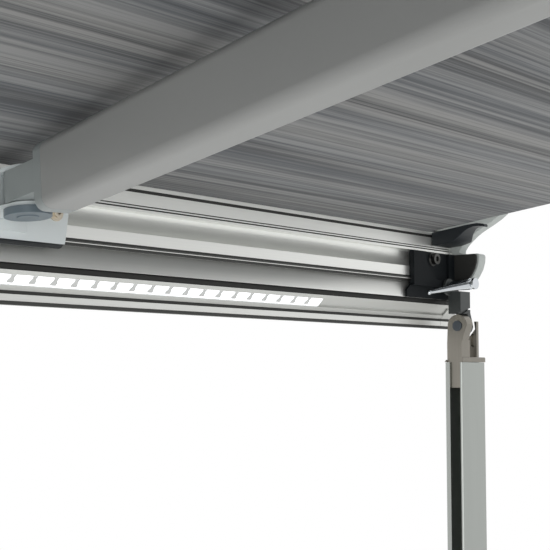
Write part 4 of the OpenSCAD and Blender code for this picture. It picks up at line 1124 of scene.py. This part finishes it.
@dataclass
class WristBrackets(Assembly):
    """The brackets on the rail that carry the arms' wrists. Axes as on the rail, x from the shoulder."""

    low_x: float = -62.0
    high_x: float = 58.5
    high: float = -22.6
    low: float = -50.0
    foot: float = -53.4
    back: float = 2.5
    wrist: Pair = (38.5, -22.0)
    pin: float = 6.0
    knuckle: float = 13.0
    height: float = 26.0
    inside: float = 10.4
    bolts: tuple[float, float] = (-48.0, 48.0)
    bolt_w: float = -29.4
    seat: float = 7.4

    def build(self) -> None:
        """Makes the brackets, their pins and bolts."""
        screws = self.bolt(self.bolts[0]) + self.bolt(self.bolts[1])
        rows = (("wrist_bracket", self.bracket(), BRACKET, 0.7, "arm_brackets"),
                ("wrist_bolt", self.pin_shape(), KNUCKLE, 0.3, "wrist_pins"),
                ("bracket_screw", screws, BOLT, 0.3, "bracket_bolts"))
        for name, solid, finish, edge, node in rows:
            self.stand_in(name, solid.at_rail(SHOULDER_X).both_ends(), "lead_rail", finish, edge, node)

    def tilted(self, solid: Solid) -> Solid:
        """Moved from the wrist's own axes, which lean with the arm, to the rail's."""
        return solid.turned(ARM_FALL, (0.0, 0.0, 0.0)).at(0.0, self.wrist[0], self.wrist[1])

    def bracket(self) -> Solid:
        """A leaning face with a round lower corner, a low foot, and the clevis of the wrist."""
        face = Solid.prism([(self.back, self.high), (self.back, self.low - 3), (3.6, self.low - 3),
                            (3.6, self.low - 0.6), (5.0, self.low), (9.4, self.high)], "x", self.low_x,
                           self.high_x)
        corner = arc((self.high_x - 5, self.low + 2), 5, -90, 0, 8)
        trim = Solid.prism(corner + [(self.high_x + 1, self.low + 2), (self.high_x + 1, self.low - 4),
                                     (self.high_x - 5, self.low - 4)], "y", -5.0, 30.0)
        foot = Solid.box((self.low_x, self.back, self.foot),
                         (self.high_x - 16, self.back + 2.6, self.low - 2.0))
        half = self.height / 2
        eye = self.knuckle
        clevis = Solid.prism(arc((0, 0), eye, 0, 180, 24) + [(-15, -31), (15, -31)], "z", -half, half)
        web = Solid.box((-24, self.back + 0.1, -45), (24, self.back + 5.6, -6))
        gap = Solid.rod((0, 0, -self.inside), (0, 0, self.inside), eye + 2.5)
        sweep = Solid.prism([(0, -17), (0, 60), (-60, 60), (-60, -13), (-20, -16.5)], "z", -self.inside,
                            self.inside)
        bore = Solid.rod((0, 0, -60), (0, 0, 60), self.pin + 0.05)
        shape = face - trim + foot + self.tilted(clevis) + web - self.tilted(gap) - self.tilted(sweep)
        shape = shape - self.tilted(bore)
        for x in self.bolts:
            shape = shape - Solid.bar((x, self.bolt_w), self.seat, 30, 6.1)
            shape = shape - Solid.bar((x, self.bolt_w), -1, 30, 2.85)
        return shape

    def pin_shape(self) -> Solid:
        """The wrist's pin with a low head below."""
        half = self.height / 2
        shank = Solid.rod((0, 0, -half - 0.3), (0, 0, half - 2), self.pin)
        head = Solid.rod((0, 0, -half - 5.0), (0, 0, -half - 0.02), self.knuckle + 2.0)
        head = head + Solid.rod((0, 0, -half - 5.8), (0, 0, -half - 4.9), self.pin + 1.0)
        return self.tilted(shank + head)

    def bolt(self, x: float) -> Solid:
        """One bolt with its washer."""
        at, seat = (x, self.bolt_w), self.seat
        washer = Solid.bar(at, seat + 0.02, seat + 1.3, 5.9)
        head = Solid.bar(at, seat + 1.2, seat + 4.0, 3.6)
        shank = Solid.bar(at, self.back, seat + 0.4, 2.8)
        return washer + head + shank - Solid.bar(at, seat + 2.2, seat + 6, 1.7, sides=6)


@dataclass
class Arm(Assembly):
    """One folding arm."""

    side: Side = Side.LEFT

    def build(self) -> None:
        """Dresses the arm's pieces."""
        self.soften_all((("upper_tube", TUBE, 0.4), ("upper_castings", SHADED_CASTING, 0.9),
                         ("elbow_pin", STEEL, 0.5), ("arm_spring", STEEL, 0.0), ("forearm_tube", TUBE, 0.4),
                         ("forearm_castings", SHADED_CASTING, 0.9)), f"{self.side.word}_")


@dataclass
class Cassette(Assembly):
    """The cassette with its brackets, roller and winding gear."""

    def build(self) -> None:
        """Dresses the cassette's pieces."""
        self.soften("cassette_housing", CASSETTE, 0.5, 2, 40.0)
        self.soften("left_cassette_cap", COVER, 1.4, 3)
        self.soften("right_cassette_cap", COVER, 1.4, 3)
        self.soften_all((("cap_screws", STEEL, 0.3), ("wall_brackets", CASTING, 0.9),
                         ("bracket_screws", STEEL, 0.3), ("roller_bushes", COVER, 0.3),
                         ("gearbox_housing", BLACK, 1.0), ("shoulder_brackets", CASTING, 0.9),
                         ("shoulder_pins", STEEL, 0.5), ("seal_strip", RUBBER, 0.2),
                         ("roller_tube", CASSETTE, 0.2), ("roller_plugs", BLACK, 0.5),
                         ("fabric_roll", FABRIC, 0.2), ("worm_wheel", BRONZE, 0.2),
                         ("crank_shaft", STEEL, 0.6), ("worm", STEEL, 0.2)))


@dataclass
class Canopy(Assembly):
    """The fabric between the roller and the lead rail.

    A short first part stays with the roller.
    """

    thickness: float = 0.0007
    sag: float = 0.002
    columns: int = 48
    inset: float = 0.011
    first: float = 0.042
    travel: float = 2.2465
    way: Triple = (0.0, 0.99589, 0.0906)

    def build(self) -> None:
        """Makes both parts."""
        low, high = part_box("fabric_canopy")
        start = Vector((0.0, high.y, high.z - 0.0004))
        end = Vector((0.0, low.y, low.z + 0.0004))
        length = (end - start).length
        width = high.x - low.x - 2 * self.inset
        split = self.first / length
        lead = self.part("fabric_first_part", start, end, width, 0.0, split, 2)
        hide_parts("fabric_canopy")
        sheet = self.part("fabric_sheet", start, end, width, split, 1.0, 62)
        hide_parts("fabric_canopy")
        anchor = start.lerp(end, split)
        reach = abs((end - anchor).dot(Vector(self.way)))
        1.0 - self.travel / reach
        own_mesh(sheet)
        length - self.first

    def part(self, name: str, start: Vector, end: Vector, width: float, low: float, high: float,
             rows: int) -> bpy.types.Object:
        """Makes the part of the sheet between two shares of the way from the roller to the rail.

        Args:
            name: The piece's name.
            start: Middle of the edge at the roller.
            end: Middle of the edge at the rail.
            width: Width of the sheet.
            low: Share of the way at which the part starts.
            high: Share at which it ends.
            rows: Rows of faces.

        Returns:
            The piece, with its UV map in metres.
        """
        shape = bmesh.new()
        bmesh.ops.create_grid(shape, x_segments=self.columns, y_segments=rows, size=0.5)
        uv = shape.loops.layers.uv.new("cloth")
        length = (end - start).length
        for face in shape.faces:
            for loop in face.loops:
                along = low + (loop.vert.co.y + 0.5) * (high - low)
                loop[uv].uv = ((loop.vert.co.x + 0.5) * width, along * length)
        for vert in shape.verts:
            across = vert.co.x * 2.0
            along = low + (vert.co.y + 0.5) * (high - low)
            point = start.lerp(end, along)
            drop = self.sag * math.sin(math.pi * along) * (1.0 - 0.45 * across * across)
            vert.co = Vector((across * width / 2, point.y, point.z - drop))
        bmesh.ops.recalc_face_normals(shape, faces=shape.faces)
        if shape.faces[0].normal.z < 0:
            bmesh.ops.reverse_faces(shape, faces=shape.faces)
        bmesh.ops.solidify(shape, geom=shape.faces[:], thickness=self.thickness)
        return self.new_piece(name, shape, "cassette", FABRIC, 60.0)


@dataclass
class Studio:
    """Floor, lights and the camera of the photograph's view."""

    eye: Triple = (-0.7279, -1.6885, -0.3625)
    forward: Triple = (-0.7531, -0.6526, 0.0838)
    lens: float = 81.82
    floor_z: float = -2.4516
    floor_half: float = 9.0
    light_level: float = 0.75

    def camera(self) -> None:
        """Sets the camera."""
        data = bpy.data.cameras.new("view")
        data.lens = self.lens
        data.sensor_width = 36.0
        camera = put_in_scene("view", data)
        camera.location = self.eye
        camera.rotation_euler = Vector(self.forward).to_track_quat("-Z", "Y").to_euler()
        data.clip_start = 0.02
        data.clip_end = 100.0
        bpy.context.scene.camera = camera

    def world(self) -> None:
        """A plain bright surround that is white to the camera and in reflections."""
        world = bpy.data.worlds.new("surround")
        bpy.context.scene.world = world
        world.use_nodes = True
        tree = world.node_tree
        tree.nodes.clear()
        path = tree.nodes.new("ShaderNodeLightPath")
        back = tree.nodes.new("ShaderNodeBackground")
        back.inputs["Color"].default_value = (1.0, 1.0, 1.0, 1.0)
        seen = Signal(tree, path.outputs["Is Camera Ray"])
        shiny = Signal(tree, path.outputs["Is Glossy Ray"])
        through = Signal(tree, path.outputs["Is Transmission Ray"])
        white = seen.at_least(shiny).at_least(through)
        strength = self.light_level + white * (1.0 - self.light_level)
        tree.links.new(strength.socket, back.inputs["Strength"])
        output = tree.nodes.new("ShaderNodeOutputWorld")
        tree.links.new(back.outputs[0], output.inputs[0])

    def floor(self) -> None:
        """A pale floor under the feet."""
        shape = bmesh.new()
        bmesh.ops.create_grid(shape, x_segments=1, y_segments=1, size=self.floor_half)
        bmesh.ops.translate(shape, verts=shape.verts, vec=(0.0, -1.2, self.floor_z))
        mesh = bpy.data.meshes.new("floor")
        shape.to_mesh(mesh)
        shape.free()
        floor = put_in_scene("floor", mesh)
        paint = Paint("floor")
        paint.set(base_color=(0.86, 0.86, 0.85), roughness=0.8)
        mesh.materials.append(paint.material)

    def lamp(self, name: str, place: Triple, aim: Triple, size: float, watts: float) -> None:
        """Adds a soft area lamp.

        Args:
            name: The lamp's name.
            place: Where it hangs.
            aim: The point that it faces.
            size: Its width.
            watts: Its power.
        """
        data = bpy.data.lights.new(name, "AREA")
        data.shape = "DISK"
        data.size = size
        data.energy = watts
        lamp = put_in_scene(name, data)
        lamp.location = place
        lamp.rotation_euler = (Vector(aim) - Vector(place)).to_track_quat("-Z", "Y").to_euler()

    def build(self) -> None:
        """Sets up the whole studio."""
        self.camera()
        self.world()
        self.floor()
        self.lamp("key", (-3.5, -5.5, 3.2), (0.0, -1.2, -0.3), 3.0, 260.0)
        self.lamp("fill", (2.5, 2.5, -0.6), (-1.5, -2.3, -0.3), 2.5, 90.0)
        view = bpy.context.scene.view_settings
        view.view_transform = "Standard"


def main() -> None:
    """Builds every assembly in order and says what was made."""
    logging.basicConfig(level=logging.INFO, format="%(name)s: %(message)s")
    Studio().build()
    assemblies: list[Assembly] = [Cassette(), Canopy(), Arm(Side.LEFT), Arm(Side.RIGHT), LeadRail(),
                                  RailEnds(), WristBrackets(), Leg(Side.LEFT), Leg(Side.RIGHT)]
    for assembly in assemblies:
        assembly.build()
        for piece in assembly.made:
            log.info("%s made %s", type(assembly).__name__, piece)


if __name__ == "__main__":
    main()
